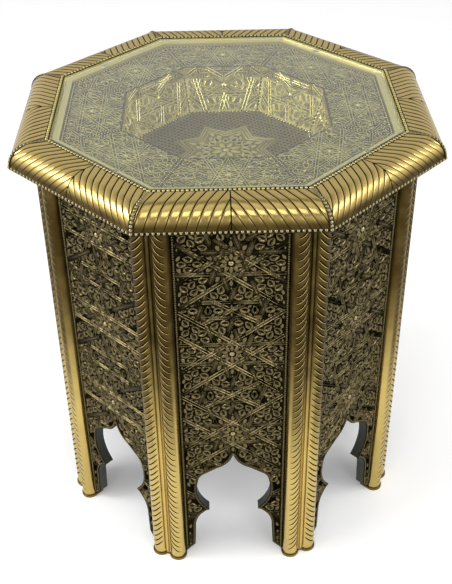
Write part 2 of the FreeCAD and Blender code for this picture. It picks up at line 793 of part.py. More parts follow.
def block_screws():
    """Round-headed screws from below, through the blocks into the top board."""
    shank = doc.addObject("Part::Cylinder", "screw_shank")
    shank.setExpression("Radius", cell("screw_radius"))
    shank.setExpression("Height", cell("screw_shank"))
    head = doc.addObject("Part::Cylinder", "screw_head")
    head.setExpression("Radius", cell("screw_head_radius"))
    head.setExpression("Height", cell("screw_head_height"))
    head.setExpression("Placement.Base.z", cell("-screw_head_height"))
    screw = doc.addObject("Part::Fuse", "block_screw")
    screw.Base = shank
    screw.Tool = head
    seat = FreeCAD.Placement(FreeCAD.Vector(value("screw_x"), 0, value("block_under")), FreeCAD.Rotation())
    return ring("block_screws", screw, [turn * seat for turn in CORNER_TURNS])


def well_floor_board():
    outline = octagon("wall_board_back_foot", "wall_board_back_foot_half")
    return octagon_plate("well_floor_board", [outline], "floor_board_under", "well_board_thickness")


def well_floor_sheet():
    outline = octagon("floor_apothem", "floor_half")
    return octagon_plate("well_floor_sheet", [outline], "floor_board_top", "sheet_thickness")


nodes = []
for number in range(1, SIDES + 1):
    nodes.append(side_board(number))
    nodes.append(panel_sheet(number))
    nodes.append(corner_post(number))
    nodes.append(post_sleeve(number))
    nodes.append(rim_sheet(number))
nodes += [foot_plates(), gutter_strips(), top_board(), rim_rails(), ledge_battens(), tray_sheets()]
nodes.append(leaning_wall("well_wall_boards", "wall_sheet_back_top", "wall_sheet_back_foot",
                          "wall_board_back_top", "wall_board_back_foot"))
nodes.append(leaning_wall("well_wall_sheets", "wall_top", "well_floor_apothem",
                          "wall_sheet_back_top", "wall_sheet_back_foot"))
nodes += [well_floor_board(), well_floor_sheet(), glass_plate(), glass_bumpers()]
nodes += [inner_beads(), lower_beads(), mitre_beads(), side_beads(), floor_beads()]
nodes += [corner_blocks(), block_screws()]
doc.recompute()


def check_model():
    """Stops the build if any object failed, or a piece has no sound solid."""
    for item in doc.Objects:
        if {"Invalid", "Error"} & set(item.State):
            raise RuntimeError(f"{item.Label} failed: {item.State}")
    for node in nodes:
        shape = node.Shape
        if shape.isNull() or not shape.isValid() or not shape.Solids:
            raise RuntimeError(f"{node.Label} has no valid solid")


check_model()
os.makedirs("parts", exist_ok=True)
for node in nodes:
    node.Shape.exportStep(os.path.join("parts", node.Label + ".step"))
print(len(nodes), "nodes,", sum(len(node.Shape.Solids) for node in nodes), "solids")
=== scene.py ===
# %% [markdown]
# # An octagonal side table clad in chased brass
# Eight arched wooden sides stand between twin columns and carry an octagonal top. Brass sheet covers all of
# it: smooth on the columns, grooved over the rim, and worked into a lattice of ten-pointed stars on the sides
# and on the tray under the glass. The frame brings every solid at its real place, in metres, with the floor
# at z = 0 and the front facing -Y. This lesson adds what the metalworker's hammer and chisel added.

# %% Load the table
import itertools
import math

import bmesh
import bpy
from mathutils import Matrix, Vector


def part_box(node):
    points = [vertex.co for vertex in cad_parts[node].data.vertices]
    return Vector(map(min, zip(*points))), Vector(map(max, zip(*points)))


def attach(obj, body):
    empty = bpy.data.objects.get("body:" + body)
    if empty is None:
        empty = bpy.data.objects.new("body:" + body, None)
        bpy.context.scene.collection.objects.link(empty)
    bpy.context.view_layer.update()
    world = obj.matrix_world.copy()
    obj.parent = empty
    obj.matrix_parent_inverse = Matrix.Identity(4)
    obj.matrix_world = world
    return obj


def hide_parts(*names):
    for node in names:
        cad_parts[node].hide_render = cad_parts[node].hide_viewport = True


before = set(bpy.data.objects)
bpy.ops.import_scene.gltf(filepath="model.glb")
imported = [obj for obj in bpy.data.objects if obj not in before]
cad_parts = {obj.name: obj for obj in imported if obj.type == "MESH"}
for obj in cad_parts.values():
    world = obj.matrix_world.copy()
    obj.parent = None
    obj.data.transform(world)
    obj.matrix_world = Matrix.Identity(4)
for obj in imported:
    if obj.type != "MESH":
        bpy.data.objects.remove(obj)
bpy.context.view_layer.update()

MM = 0.001
SIDES = 8
TURN = math.radians(360 / SIDES)
SLANT = math.tan(TURN / 2)
print("pieces in the frame:", len(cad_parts))

# %% [markdown]
# ## Camera
# The photograph's perspective was solved from the octagon's corners and the feet: it looks down at about 36
# degrees from straight in front, with a slight roll of the hand. A camera could be aimed with a constraint,
# but a matrix of its three axes keeps that roll exact.

# %% Place the camera
FRAME_HEIGHT = 584
FOCAL_PIXELS = 1014.7
SENSOR = 36.0
YAW, PITCH, ROLL = -0.0142, 0.6317, -0.0148
AIM = Vector((-2.8, 0, 269.6)) * MM
DISTANCE = 1330 * MM

back = Vector((math.sin(YAW) * math.cos(PITCH), -math.cos(YAW) * math.cos(PITCH), math.sin(PITCH)))
level = Vector((math.cos(YAW), math.sin(YAW), 0))
upright = back.cross(level)
right = level * math.cos(ROLL) + upright * math.sin(ROLL)
above = upright * math.cos(ROLL) - level * math.sin(ROLL)
camera_data = bpy.data.cameras.new("photo_camera")
camera_data.sensor_width = SENSOR
camera_data.lens = FOCAL_PIXELS * SENSOR / FRAME_HEIGHT
camera_data.clip_start = 10 * MM
camera = bpy.data.objects.new("photo_camera", camera_data)
axes = Matrix((right, above, back)).transposed()
camera.matrix_world = Matrix.Translation(AIM + back * DISTANCE) @ axes.to_4x4()
bpy.context.scene.collection.objects.link(camera)
bpy.context.scene.camera = camera
bpy.context.scene.view_settings.view_transform = "Standard"
print("lens", round(camera_data.lens, 2), "mm")

# %% [markdown]
# ## Node helpers
# Shader and geometry trees are both graphs of nodes. One helper adds a node and feeds its inputs, either with
# a plain value or with a link from another node; the others are for the nodes that come up again and again.

# %% Node helpers
MIX_INPUTS = 0, 6, 7
MIX_RESULT = 2


def feed(tree, socket, value):
    """Gives an input a plain value, or a link where the value is another node's output."""
    if isinstance(value, bpy.types.NodeSocket):
        tree.links.new(value, socket)
    else:
        socket.default_value = value


def fill(tree, node, **inputs):
    """Feeds a node's inputs; underscores in an input's name stand for spaces."""
    for name, value in inputs.items():
        feed(tree, node.inputs[name.replace("_", " ")], value)


def add_node(tree, kind, settings=None, **inputs):
    """Adds a node, with its settings and inputs."""
    made = tree.nodes.new(kind)
    for name, value in (settings or {}).items():
        setattr(made, name, value)
    fill(tree, made, **inputs)
    return made


def sum_node(tree, operation, *values, clamp=False):
    """A Math node's result."""
    made = add_node(tree, "ShaderNodeMath", {"operation": operation, "use_clamp": clamp})
    for socket, value in zip(made.inputs, values):
        feed(tree, socket, value)
    return made.outputs[0]


def mixed(tree, share, first, second):
    """A colour between two others, from those sockets of a Mix node that are for colours."""
    made = add_node(tree, "ShaderNodeMix", {"data_type": "RGBA"})
    for k, value in zip(MIX_INPUTS, (share, first, second)):
        feed(tree, made.inputs[k], value)
    return made.outputs[MIX_RESULT]


def split(tree, vector):
    """The X, Y and Z of a vector."""
    return add_node(tree, "ShaderNodeSeparateXYZ", Vector=vector).outputs


def object_spot(tree):
    """A point's place on the table, for a material."""
    return add_node(tree, "ShaderNodeTexCoord").outputs["Object"]


def new_material(name):
    """A new material, its tree and its Principled shader."""
    material = bpy.data.materials.new(name)
    material.use_nodes = True
    return material, material.node_tree, material.node_tree.nodes["Principled BSDF"]


def new_group(name, kind, inputs, outputs):
    """An empty node group, with the outputs of its input node and the inputs of its output node."""
    tree = bpy.data.node_groups.new(name, kind)
    for label, socket in inputs:
        tree.interface.new_socket(label, in_out="INPUT", socket_type="NodeSocket" + socket)
    for label, socket in outputs:
        tree.interface.new_socket(label, in_out="OUTPUT", socket_type="NodeSocket" + socket)
    return tree, tree.nodes.new("NodeGroupInput").outputs, tree.nodes.new("NodeGroupOutput").inputs


print("sockets of a colour mix:", MIX_INPUTS, "to", MIX_RESULT)

# %% [markdown]
# ## Floor and light
# The photograph is a shop picture on plain white, lit softly from all round. Brass shows whatever surrounds
# it, so the world is a simple studio dome: a bright patch overhead, a quieter ring below it, more light
# behind the table than in front, and most at the two sides. The patch becomes the long highlight on every
# nosing, and the light behind gives the flats their tan. Small lamps add the sparkle of the chased edges: one
# high in front, and on each side three lower ones, of which the foremost reach the far walls of the well. The
# floor is white where it is seen and keeps a soft shadow.

# %% Light the table
DOME_BANDS = [(0.0, 0.45), (0.25, 0.5), (0.45, 0.62), (0.64, 0.62),
              (0.78, 0.3), (0.9, 0.35), (0.96, 1.1), (1.0, 1.2)]
DOME_MIDDLE = 0.8
DOME_BACK = 0.45
DOME_SIDES = 1.0
DOME_RIGHT = -0.2
# A lamp is its name, its place on the right and its width; the powers of each side are in the same order.
SIDE_LAMPS = [("side_panel", (1.9, -0.3, 1.7), 0.8),
              ("quarter_panel", (1.8, -1.1, 1.3), 0.7),
              ("front_panel", (0.95, -2.2, 1.5), 0.8)]
LEFT_POWERS = 22, 8, 8
RIGHT_POWERS = 9, 10, 10
TOP_LAMP = "top_panel", (0, -1.2, 2.2), 0.7, 4.5


def soft_panel(name, place, width, power):
    """A square lamp that faces the middle of the table."""
    lamp = bpy.data.lights.new(name, "AREA")
    lamp.size = width
    lamp.energy = power
    made = bpy.data.objects.new(name, lamp)
    made.location = place
    made.rotation_euler = (AIM - Vector(place)).to_track_quat("-Z", "Y").to_euler()
    bpy.context.scene.collection.objects.link(made)


world = bpy.data.worlds.new("studio_dome")
bpy.context.scene.world = world
world.use_nodes = True
sky = world.node_tree
skyward = split(sky, add_node(sky, "ShaderNodeTexCoord").outputs["Generated"])
depth = sum_node(sky, "MULTIPLY_ADD", skyward["Y"], DOME_BACK, DOME_MIDDLE)
depth = sum_node(sky, "MULTIPLY_ADD", skyward["X"], DOME_RIGHT, depth)
bands = add_node(sky, "ShaderNodeValToRGB", Fac=skyward["Z"])
for height, grey in DOME_BANDS[1:-1]:
    bands.color_ramp.elements.new(height)
for element, (height, grey) in zip(bands.color_ramp.elements, DOME_BANDS):
    element.position = height
    element.color = (grey, grey, grey, 1)
aside = sum_node(sky, "MULTIPLY", sum_node(sky, "POWER", skyward["X"], 2.0), DOME_SIDES)
glow = sum_node(sky, "MULTIPLY_ADD", bands.outputs["Color"], depth, aside)
feed(sky, sky.nodes["Background"].inputs["Color"], glow)
for hand, powers in ((-1, LEFT_POWERS), (1, RIGHT_POWERS)):
    for (name, (x, y, z), width), power in zip(SIDE_LAMPS, powers):
        soft_panel(name, (x * hand, y, z), width, power)
soft_panel(*TOP_LAMP)
print("lamps:", len(bpy.data.lights))

# %% Lay the floor
FLOOR_HALF = 4.0
FLOOR_LIFT = 0.12
FLOOR_GREY = (0.93, 0.93, 0.93, 1)
FLOOR_WHITE = (0.96, 0.96, 0.96, 1)


def show(name, mesh):
    """Links a new object for a mesh."""
    piece = bpy.data.objects.new(name, mesh)
    bpy.context.scene.collection.objects.link(piece)
    return piece


floor_mesh = bpy.data.meshes.new("floor")
corners = [(x * FLOOR_HALF, y * FLOOR_HALF, 0) for x, y in ((-1, -1), (1, -1), (1, 1), (-1, 1))]
floor_mesh.from_pydata(corners, [], [(0, 1, 2, 3)])
floor = show("floor", floor_mesh)
floor_paint, paint, shader = new_material("pale_floor")
speckle = add_node(paint, "ShaderNodeTexNoise", Vector=object_spot(paint), Scale=6.0)
rays = add_node(paint, "ShaderNodeLightPath").outputs
seen = sum_node(paint, "ADD", rays["Is Camera Ray"], rays["Is Glossy Ray"])
seen = sum_node(paint, "ADD", seen, rays["Is Transmission Ray"], clamp=True)
fill(paint, shader, Base_Color=mixed(paint, speckle.outputs["Fac"], FLOOR_GREY, FLOOR_WHITE), Roughness=0.9,
     Emission_Color=(1, 1, 1, 1), Emission_Strength=sum_node(paint, "MULTIPLY", seen, FLOOR_LIFT))
floor_mesh.materials.append(floor_paint)
print("floor", 2 * FLOOR_HALF, "m wide")

# %% [markdown]
# ## Aged brass
# Every sheet is the same brass, but each place wears its own way: rubbed bright on crests, brown or black
# with old patina in the hollows. One node group mixes metal and patina. Its Crest input says how high a point
# stands in the relief, so that on chased work the rubbing follows the shape and not a painted picture; on the
# columns and the underside of the nosing it carries painted shade and a painted dark reflection, which the
# same mix turns to brown. Two noises add clouds of tarnish and a fine grain.

# %% Aged brass group
CLOUD_SCALE = 45.0
CLOUD_HEIGHT = 3.0
PATINA_ROUGHNESS = 0.35
GRAIN_ROUGHNESS = 0.16

aged_brass, given, result = new_group(
    "aged_brass", "ShaderNodeTree",
    [("Metal", "Color"), ("Patina", "Color"), ("Age", "Float"), ("Mottle", "Float"), ("Crest", "Float"),
     ("Shine", "Float"), ("Grain Scale", "Float")],
    [("Color", "Color"), ("Roughness", "Float"), ("Height", "Float")])
spot = object_spot(aged_brass)
cloud = add_node(aged_brass, "ShaderNodeTexNoise", Vector=spot, Scale=CLOUD_SCALE, Detail=4.0).outputs["Fac"]
grain = add_node(aged_brass, "ShaderNodeTexNoise", Vector=spot, Scale=given["Grain Scale"], Detail=2.0)
grain = grain.outputs["Fac"]
# Where Crest is a painted fade, on the columns and the nosing's ribs, this patina share is painted shade.
hollow = sum_node(aged_brass, "SUBTRACT", 1.0, given["Crest"])
tarnish_and_shade = sum_node(aged_brass, "MULTIPLY", given["Age"], hollow)
drift = sum_node(aged_brass, "SUBTRACT", cloud, 0.5)
patina_and_shade_share = sum_node(aged_brass, "MULTIPLY_ADD", drift, given["Mottle"], tarnish_and_shade, clamp=True)
feed(aged_brass, result["Color"], mixed(aged_brass, patina_and_shade_share, given["Metal"], given["Patina"]))
dull = sum_node(aged_brass, "MULTIPLY_ADD", patina_and_shade_share, PATINA_ROUGHNESS, given["Shine"])
speck = sum_node(aged_brass, "SUBTRACT", grain, 0.5)
feed(aged_brass, result["Roughness"], sum_node(aged_brass, "MULTIPLY_ADD", speck, GRAIN_ROUGHNESS, dull))
feed(aged_brass, result["Height"], sum_node(aged_brass, "MULTIPLY_ADD", cloud, CLOUD_HEIGHT, grain))
print("brass group sockets:", [item.name for item in aged_brass.interface.items_tree])

# %% [markdown]
# ## Where the brass is bright
# A chased piece reads its crest from its own relief. A plain sheet has none, so its crest comes from the
# place: fades between two heights make the tray's ground dark and paint light and shade on the columns, which
# are full brass near the floor, with a painted dark reflection on the crowns of the lobes higher up and
# painted shade at the foot and under the rim. Another fade paints shade on the underside of the nosing's
# ribs. They could be painted by hand, but a fade needs no picture and can be read as numbers.

# %% Crests of the sheets
# A fade is two heights above the floor and the crest below and above them.
LIP_FADE = 539.4 * MM, 539.8 * MM, 1.0, 0.0
# The next three fades are painted light on the columns: above about 120 mm the crowns of the lobes take a
# painted dark reflection, the foot takes painted shade, and above about 150 mm painted shade falls under the
# rim.
CROWN_REFLECTION_FADE = 120 * MM, 330 * MM, 1.0, 0.08
FOOT_SHADE_FADE = 3 * MM, 6 * MM, 0.3, 1.0
UNDER_RIM_SHADE_FADE = 150 * MM, 380 * MM, 1.0, 0.03
WELL_FADE = 480 * MM, 490 * MM, 0.6, 1.0
FLANGE_FADE = 529.0 * MM, 529.5 * MM, 0.45, 0.05
# The nosing fade paints shade on the lower, down-turning part of the nosing.
NOSING_SHADE_FADE = 521 * MM, 535 * MM, 0.04, 1.0
LEDGE_REACH = 212 * MM
LOBE_CROWN = 73.5 * MM
# The painted dark reflection lies on a strip along each crown; the flanks beside it stay bright.
DARK_CROWN_HALF = 3.0 * MM
LIT_FLANK_WIDTH = 3.5 * MM


def relief_crest(tree):
    """The crest that a geometry tree noted."""
    return add_node(tree, "ShaderNodeAttribute", {"attribute_name": "crest"}).outputs["Fac"]


def level_crest(tree, low, high, below, above):
    """A crest that goes from one value to another between two heights above the floor."""
    fade = add_node(tree, "ShaderNodeMapRange", {"interpolation_type": "SMOOTHSTEP"},
                    Value=split(tree, object_spot(tree))["Z"],
                    From_Min=low, From_Max=high, To_Min=below, To_Max=above)
    return fade.outputs["Result"]


def from_axis(tree):
    """A point's distance from the table's upright axis."""
    place = split(tree, object_spot(tree))
    squares = [sum_node(tree, "POWER", place[axis], 2.0) for axis in "XY"]
    return sum_node(tree, "SQRT", sum_node(tree, "ADD", *squares))


def ledge_crest(tree):
    """Bright on the ledge that carries the glass and the lip above it, dark in the grooves further out."""
    near = sum_node(tree, "LESS_THAN", from_axis(tree), LEDGE_REACH)
    return sum_node(tree, "MULTIPLY", near, level_crest(tree, *LIP_FADE))


def column_painted_light(tree):
    """Painted light on the columns: full brass near the floor; higher up a dark reflection painted on the
    crown of each lobe, and painted shade at the foot and over all of it under the rim.
    """
    place = split(tree, object_spot(tree))
    turn = sum_node(tree, "DIVIDE", sum_node(tree, "ARCTAN2", place["X"], place["Y"]), TURN)
    turn = sum_node(tree, "MULTIPLY", sum_node(tree, "SUBTRACT", turn, sum_node(tree, "ROUND", turn)), TURN)
    across = sum_node(tree, "MULTIPLY", from_axis(tree), sum_node(tree, "SINE", turn))
    across = sum_node(tree, "SUBTRACT", sum_node(tree, "ABSOLUTE", across), LOBE_CROWN)
    lit_flank = sum_node(tree, "SUBTRACT", sum_node(tree, "ABSOLUTE", across), DARK_CROWN_HALF)
    lit_flank = sum_node(tree, "DIVIDE", lit_flank, LIT_FLANK_WIDTH, clamp=True)
    lit_share = sum_node(tree, "MAXIMUM", lit_flank, level_crest(tree, *CROWN_REFLECTION_FADE))
    lit_share = sum_node(tree, "MULTIPLY", lit_share, level_crest(tree, *FOOT_SHADE_FADE))
    return sum_node(tree, "MULTIPLY", lit_share, level_crest(tree, *UNDER_RIM_SHADE_FADE))


def tray_crest(tree):
    """Dark on the tray, dull on the floor of the well, brighter on the flange bent down between them."""
    return sum_node(tree, "MULTIPLY", level_crest(tree, *WELL_FADE), level_crest(tree, *FLANGE_FADE))


def rib_crest_and_shade(tree):
    """The ribs' own crest, with painted shade towards the underside of the nosing."""
    return sum_node(tree, "MULTIPLY", relief_crest(tree), level_crest(tree, *NOSING_SHADE_FADE))


print("fades of the columns:", CROWN_REFLECTION_FADE, FOOT_SHADE_FADE, UNDER_RIM_SHADE_FADE)

# %% Brass finishes
BRASS = (0.58, 0.43, 0.145, 1)
COLUMN_BRASS = (0.51, 0.38, 0.125, 1)
TRAY_BRASS = (0.58, 0.50, 0.21, 1)
WALL_BRASS = (0.95, 0.80, 0.30, 1)
DIMPLE_BRASS = (0.28, 0.24, 0.10, 1)
TRAY_RELIEF_BRASS = (0.68, 0.58, 0.235, 1)
LEDGE_BRASS = (0.78, 0.66, 0.26, 1)
PEARL_BRASS = (0.32, 0.26, 0.13, 1)
ANTIQUE = (0.12, 0.095, 0.043, 1)
BROWN = (0.055, 0.035, 0.008, 1)
SOOT = (0.004, 0.0035, 0.002, 1)


def brass_finish(name, metal, patina, mottle, shine, crest=relief_crest, age=1.0,
                 grain=900.0, depth=0.03 * MM, edge=1.0):
    """A brass material. Crest is a value, or a function that adds nodes for it to the tree; where that
    function paints light, as on the columns and the nosing's ribs, the patina colour stands for painted
    shade.
    """
    material, tree, shader = new_material(name)
    crest = crest(tree) if callable(crest) else crest
    mix = add_node(tree, "ShaderNodeGroup", {"node_tree": aged_brass}, Metal=metal, Patina=patina, Age=age,
                   Mottle=mottle, Crest=crest, Shine=shine, Grain_Scale=grain).outputs
    relief = add_node(tree, "ShaderNodeBump", Height=mix["Height"], Distance=depth)
    fill(tree, shader, Metallic=1.0, Specular_Tint=(edge, edge, edge, 1), Base_Color=mix["Color"],
         Roughness=mix["Roughness"], Normal=relief.outputs["Normal"])
    return material


# The columns' crest is painted light: shade at the foot and under the rim, and a dark reflection on the
# crowns.
column_brass = brass_finish("column_sheet_brass", COLUMN_BRASS, BROWN, 0.35, 0.17, column_painted_light)
burr_brass = brass_finish("burr_brass", BRASS, BROWN, 0.3, 0.2, age=0.8)
# The ribs' crest carries painted shade on the underside of the nosing.
rib_brass = brass_finish("rib_brass", BRASS, BROWN, 0.25, 0.2, rib_crest_and_shade)
rim_sheet_brass = brass_finish("rim_sheet_brass", LEDGE_BRASS, SOOT, 0.2, 0.35, ledge_crest)
relief_brass = brass_finish("relief_brass", ANTIQUE, SOOT, 0.4, 0.1, grain=200.0, depth=0.5 * MM, edge=0.7)
tray_relief_brass = brass_finish("tray_relief_brass", TRAY_RELIEF_BRASS, SOOT, 0.3, 0.4)
wall_relief_brass = brass_finish("wall_relief_brass", WALL_BRASS, BROWN, 0.3, 0.2)
dotted_brass = brass_finish("dotted_brass", TRAY_BRASS, SOOT, 0.3, 0.38)
dimple_brass = brass_finish("dimple_brass", DIMPLE_BRASS, SOOT, 0.3, 0.38)
pearl_brass = brass_finish("pearl_brass", PEARL_BRASS, SOOT, 0.3, 0.22)
ground_brass = brass_finish("ground_brass", ANTIQUE, SOOT, 0.3, 0.3, crest=0.04, edge=0.1)
tray_ground_brass = brass_finish("tray_ground_brass", WALL_BRASS, BROWN, 0.15, 0.5, tray_crest)
wall_ground_brass = brass_finish("wall_ground_brass", WALL_BRASS, BROWN, 0.4, 0.3, crest=0.5)
cut_brass = brass_finish("cut_brass", BROWN, SOOT, 0.3, 0.5, crest=0.0, edge=0.1)
print("finishes:", [material.name for material in bpy.data.materials if material.name.endswith("brass")])

# %% [markdown]
# ## Wood, glass, plastic and steel
# The carcass is softwood stained almost black-green; it shows on the cut edges of the arches and inside. Its
# grain is a noise stretched along the height. The glass is clear float glass with a faint green. Its edges
# are ground, so they are rough where the faces are smooth, and it lets the lamps through to the tray. The
# four bumpers are milky soft plastic, and the screws plain steel.

# %% Other finishes
FACE_TILT = 0.95


def plain_finish(name, colour, second, roughness, metallic=0.0, stretch=(1, 1, 1), scale=60.0):
    """A material of two close colours mixed by a noise, with a fine bump."""
    material, tree, shader = new_material(name)
    spot = add_node(tree, "ShaderNodeMapping", Vector=object_spot(tree), Scale=stretch).outputs["Vector"]
    noise = add_node(tree, "ShaderNodeTexNoise", Vector=spot, Scale=scale, Detail=5.0).outputs["Fac"]
    relief = add_node(tree, "ShaderNodeBump", Height=noise, Strength=0.25, Distance=0.3 * MM)
    fill(tree, shader, Base_Color=mixed(tree, noise, colour, second), Roughness=roughness, Metallic=metallic,
         Normal=relief.outputs["Normal"])
    return material


def clear_finish(name, colour, roughness, edge_roughness, ior):
    """A clear material with ground edges, which lets the lamps' light straight through."""
    material, tree, shader = new_material(name)
    facing = split(tree, add_node(tree, "ShaderNodeNewGeometry").outputs["True Normal"])["Z"]
    edge = sum_node(tree, "LESS_THAN", sum_node(tree, "ABSOLUTE", facing), FACE_TILT)
    ground = sum_node(tree, "MULTIPLY_ADD", edge, edge_roughness - roughness, roughness)
    fill(tree, shader, Base_Color=colour, Roughness=ground, Transmission_Weight=1.0, IOR=ior)
    rays = add_node(tree, "ShaderNodeLightPath").outputs
    lamp_light = add_node(tree, "ShaderNodeBsdfTransparent", Color=colour)
    choice = add_node(tree, "ShaderNodeMixShader", Fac=rays["Is Shadow Ray"])
    feed(tree, choice.inputs[1], shader.outputs["BSDF"])
    feed(tree, choice.inputs[2], lamp_light.outputs["BSDF"])
    feed(tree, tree.nodes["Material Output"].inputs["Surface"], choice.outputs["Shader"])
    return material


stained_wood = plain_finish("stained_wood", (0.012, 0.018, 0.012, 1), (0.035, 0.036, 0.022, 1), 0.55,
                            stretch=(1, 1, 0.08), scale=160.0)
screw_steel = plain_finish("screw_steel", (0.5, 0.5, 0.5, 1), (0.35, 0.34, 0.33, 1), 0.35, metallic=1.0)
clear_glass = clear_finish("clear_glass", (0.93, 0.97, 0.94, 1), 0.015, 0.5, 1.5)
milky_plastic = plain_finish("milky_plastic", (0.56, 0.54, 0.40, 1), (0.64, 0.62, 0.48, 1), 0.3)
print("other finishes:", stained_wood.name, screw_steel.name, clear_glass.name, milky_plastic.name)

# %% Finish the pieces of the frame
SLOT_FINISHES = {
    "carcass_wood": stained_wood,
    "panel_brass": ground_brass,
    "column_brass": column_brass,
    "rim_brass": rim_sheet_brass,
    "tray_brass": tray_ground_brass,
    "bead_brass": pearl_brass,
    "clear_glass": clear_glass,
    "clear_plastic": milky_plastic,
    "screw_steel": screw_steel,
}
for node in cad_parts.values():
    for slot in node.material_slots:
        slot.material = SLOT_FINISHES[slot.material.name.split(".")[0]]
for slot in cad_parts["well_wall_sheets"].material_slots:
    slot.material = wall_ground_brass
print("finished", len(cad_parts), "pieces")

# %% [markdown]
# ## From drawn lines to relief
# A chaser first draws lines on the sheet and then works along them. The pieces below start the same way: the
# script draws plain lines or points in a flat frame, with the sheet at z = 0, and a geometry tree turns them
# into bands, ribs or rows of beads. Each tree notes how high a point stands in an attribute named crest,
# which the brass finishes read. Another tree bends flat work over a round edge.

# %% Helpers for drawn work
MIRROR = Matrix.Scale(-1, 4, (1, 0, 0))


def drawn(lines, closed=False, **values):
    """A loose mesh of lines; each further argument is an attribute with one list per line."""
    mesh = bpy.data.meshes.new("drawn_lines")
    edges = []
    first = 0
    for line in lines:
        edges += [(first + k, first + k + 1) for k in range(len(line) - 1)]
        edges += [(first + len(line) - 1, first)] if closed else []
        first += len(line)
    mesh.from_pydata([point for line in lines for point in line], edges, [])
    for name, per_line in values.items():
        made = mesh.attributes.new(name, "FLOAT", "POINT")
        made.data.foreach_set("value", [value for line in per_line for value in line])
    return show("drawn_lines", mesh)


def shaped(source, tree, sizes):
    """Runs a geometry tree on a source piece and returns the plain mesh that it makes."""
    modifier = source.modifiers.new("shape", "NODES")
    modifier.node_group = tree
    for item in tree.interface.items_tree:
        if item.in_out == "INPUT" and item.name in sizes:
            modifier[item.identifier] = sizes[item.name]
    made = source.evaluated_get(bpy.context.evaluated_depsgraph_get())
    mesh = bpy.data.meshes.new_from_object(made)
    source.modifiers.remove(modifier)
    bpy.data.objects.remove(source)
    return mesh


def joined(meshes, smooth=True):
    """One mesh of several, with smooth or sharp faces; all share one finish."""
    work = bmesh.new()
    for mesh in meshes:
        work.from_mesh(mesh)
    made = bpy.data.meshes.new("joined")
    work.to_mesh(made)
    work.free()
    made.materials.append(meshes[0].materials[0])
    made.polygons.foreach_set("use_smooth", [smooth] * len(made.polygons))
    return made


def moved(mesh, matrix):
    """A copy of a mesh in another place, with its faces still outwards where the move mirrors it."""
    copy = mesh.copy()
    copy.transform(matrix)
    if matrix.determinant() < 0:
        copy.flip_normals()
    return copy


def trimmed(mesh, place, outwards):
    """Cuts away what lies beyond a plane."""
    work = bmesh.new()
    work.from_mesh(mesh)
    everything = work.verts[:] + work.edges[:] + work.faces[:]
    bmesh.ops.bisect_plane(work, geom=everything, plane_co=place, plane_no=outwards, clear_outer=True)
    work.to_mesh(mesh)
    work.free()
    return mesh


def around(mesh, sides=range(SIDES), smooth=True):
    """Copies of the front side's work, turned to each of the given sides and joined."""
    return joined([moved(mesh, Matrix.Rotation(TURN * side, 4, "Z")) for side in sides], smooth)


def framed(place, along, up, out):
    """A frame for flat work: where its origin lies and which way its x, y and z run on the table."""
    return Matrix.Translation(place) @ Matrix((along, up, out)).transposed().to_4x4()


def keep(name, mesh, slot, *nodes):
    """Hands a finished mesh over as a piece of the table, in place of CAD nodes where some are named."""
    mesh.name = name
    piece = show(name, mesh)
    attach(piece, "table")
    if nodes:
        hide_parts(*nodes)
    print(name, sum(len(face.vertices) - 2 for face in mesh.polygons), "triangles")


# %% Trees for ribs and bends
SWEPT = "Geometry", "Geometry"
FINISH = "Finish", "Material"


def position(tree):
    """A point's X, Y and Z, in a geometry tree."""
    return split(tree, add_node(tree, "GeometryNodeInputPosition").outputs[0])


def close_tree(tree, geometry, height, finish, result):
    """Notes the crest, realizes instances and sets the finish, as the end of every tree."""
    crest = sum_node(tree, "DIVIDE", position(tree)["Z"], height, clamp=True)
    real = add_node(tree, "GeometryNodeRealizeInstances", Geometry=geometry)
    noted = add_node(tree, "GeometryNodeStoreNamedAttribute", {"data_type": "FLOAT", "domain": "POINT"},
                     Geometry=real.outputs[0], Name="crest", Value=crest)
    done = add_node(tree, "GeometryNodeSetMaterial", Geometry=noted.outputs[0], Material=finish)
    feed(tree, result["Geometry"], done.outputs[0])


def rails(tree, geometry):
    """Drawn lines as curves whose sections stand upright."""
    curve = add_node(tree, "GeometryNodeMeshToCurve", Mesh=geometry)
    return add_node(tree, "GeometryNodeSetCurveNormal", {"mode": "Z_UP"}, Curve=curve.outputs[0]).outputs[0]


def named(tree, name):
    """The value of a float attribute."""
    read = add_node(tree, "GeometryNodeInputNamedAttribute", {"data_type": "FLOAT"}, Name=name)
    return read.outputs["Attribute"]


rib_tree, given, result = new_group(
    "ribs", "GeometryNodeTree", [SWEPT, ("Rise", "Float"), ("Fullness", "Float"), FINISH], [SWEPT])
arch = add_node(rib_tree, "GeometryNodeCurveArc", {"mode": "RADIUS"}, Resolution=7, Radius=1.0,
                Start_Angle=math.pi, Sweep_Angle=-math.pi)
spot = position(rib_tree)
lift = sum_node(rib_tree, "POWER", sum_node(rib_tree, "MAXIMUM", spot["Y"], 0.0), given["Fullness"])
spot = add_node(rib_tree, "ShaderNodeCombineXYZ", X=spot["X"], Y=lift)
arch = add_node(rib_tree, "GeometryNodeSetPosition", Geometry=arch.outputs["Curve"], Position=spot.outputs[0])
upwards = sum_node(rib_tree, "MULTIPLY", given["Rise"], -1.0)
flatten = add_node(rib_tree, "ShaderNodeCombineXYZ", X=1.0, Y=upwards, Z=1.0)
arch = add_node(rib_tree, "GeometryNodeTransform", Geometry=arch.outputs[0], Scale=flatten.outputs[0])
swept = add_node(rib_tree, "GeometryNodeCurveToMesh", Curve=rails(rib_tree, given["Geometry"]),
                 Profile_Curve=arch.outputs[0], Scale=named(rib_tree, "half_width"))
tallest = sum_node(rib_tree, "MULTIPLY", given["Rise"], named(rib_tree, "half_width"))
close_tree(rib_tree, swept.outputs[0], tallest, given["Finish"], result)

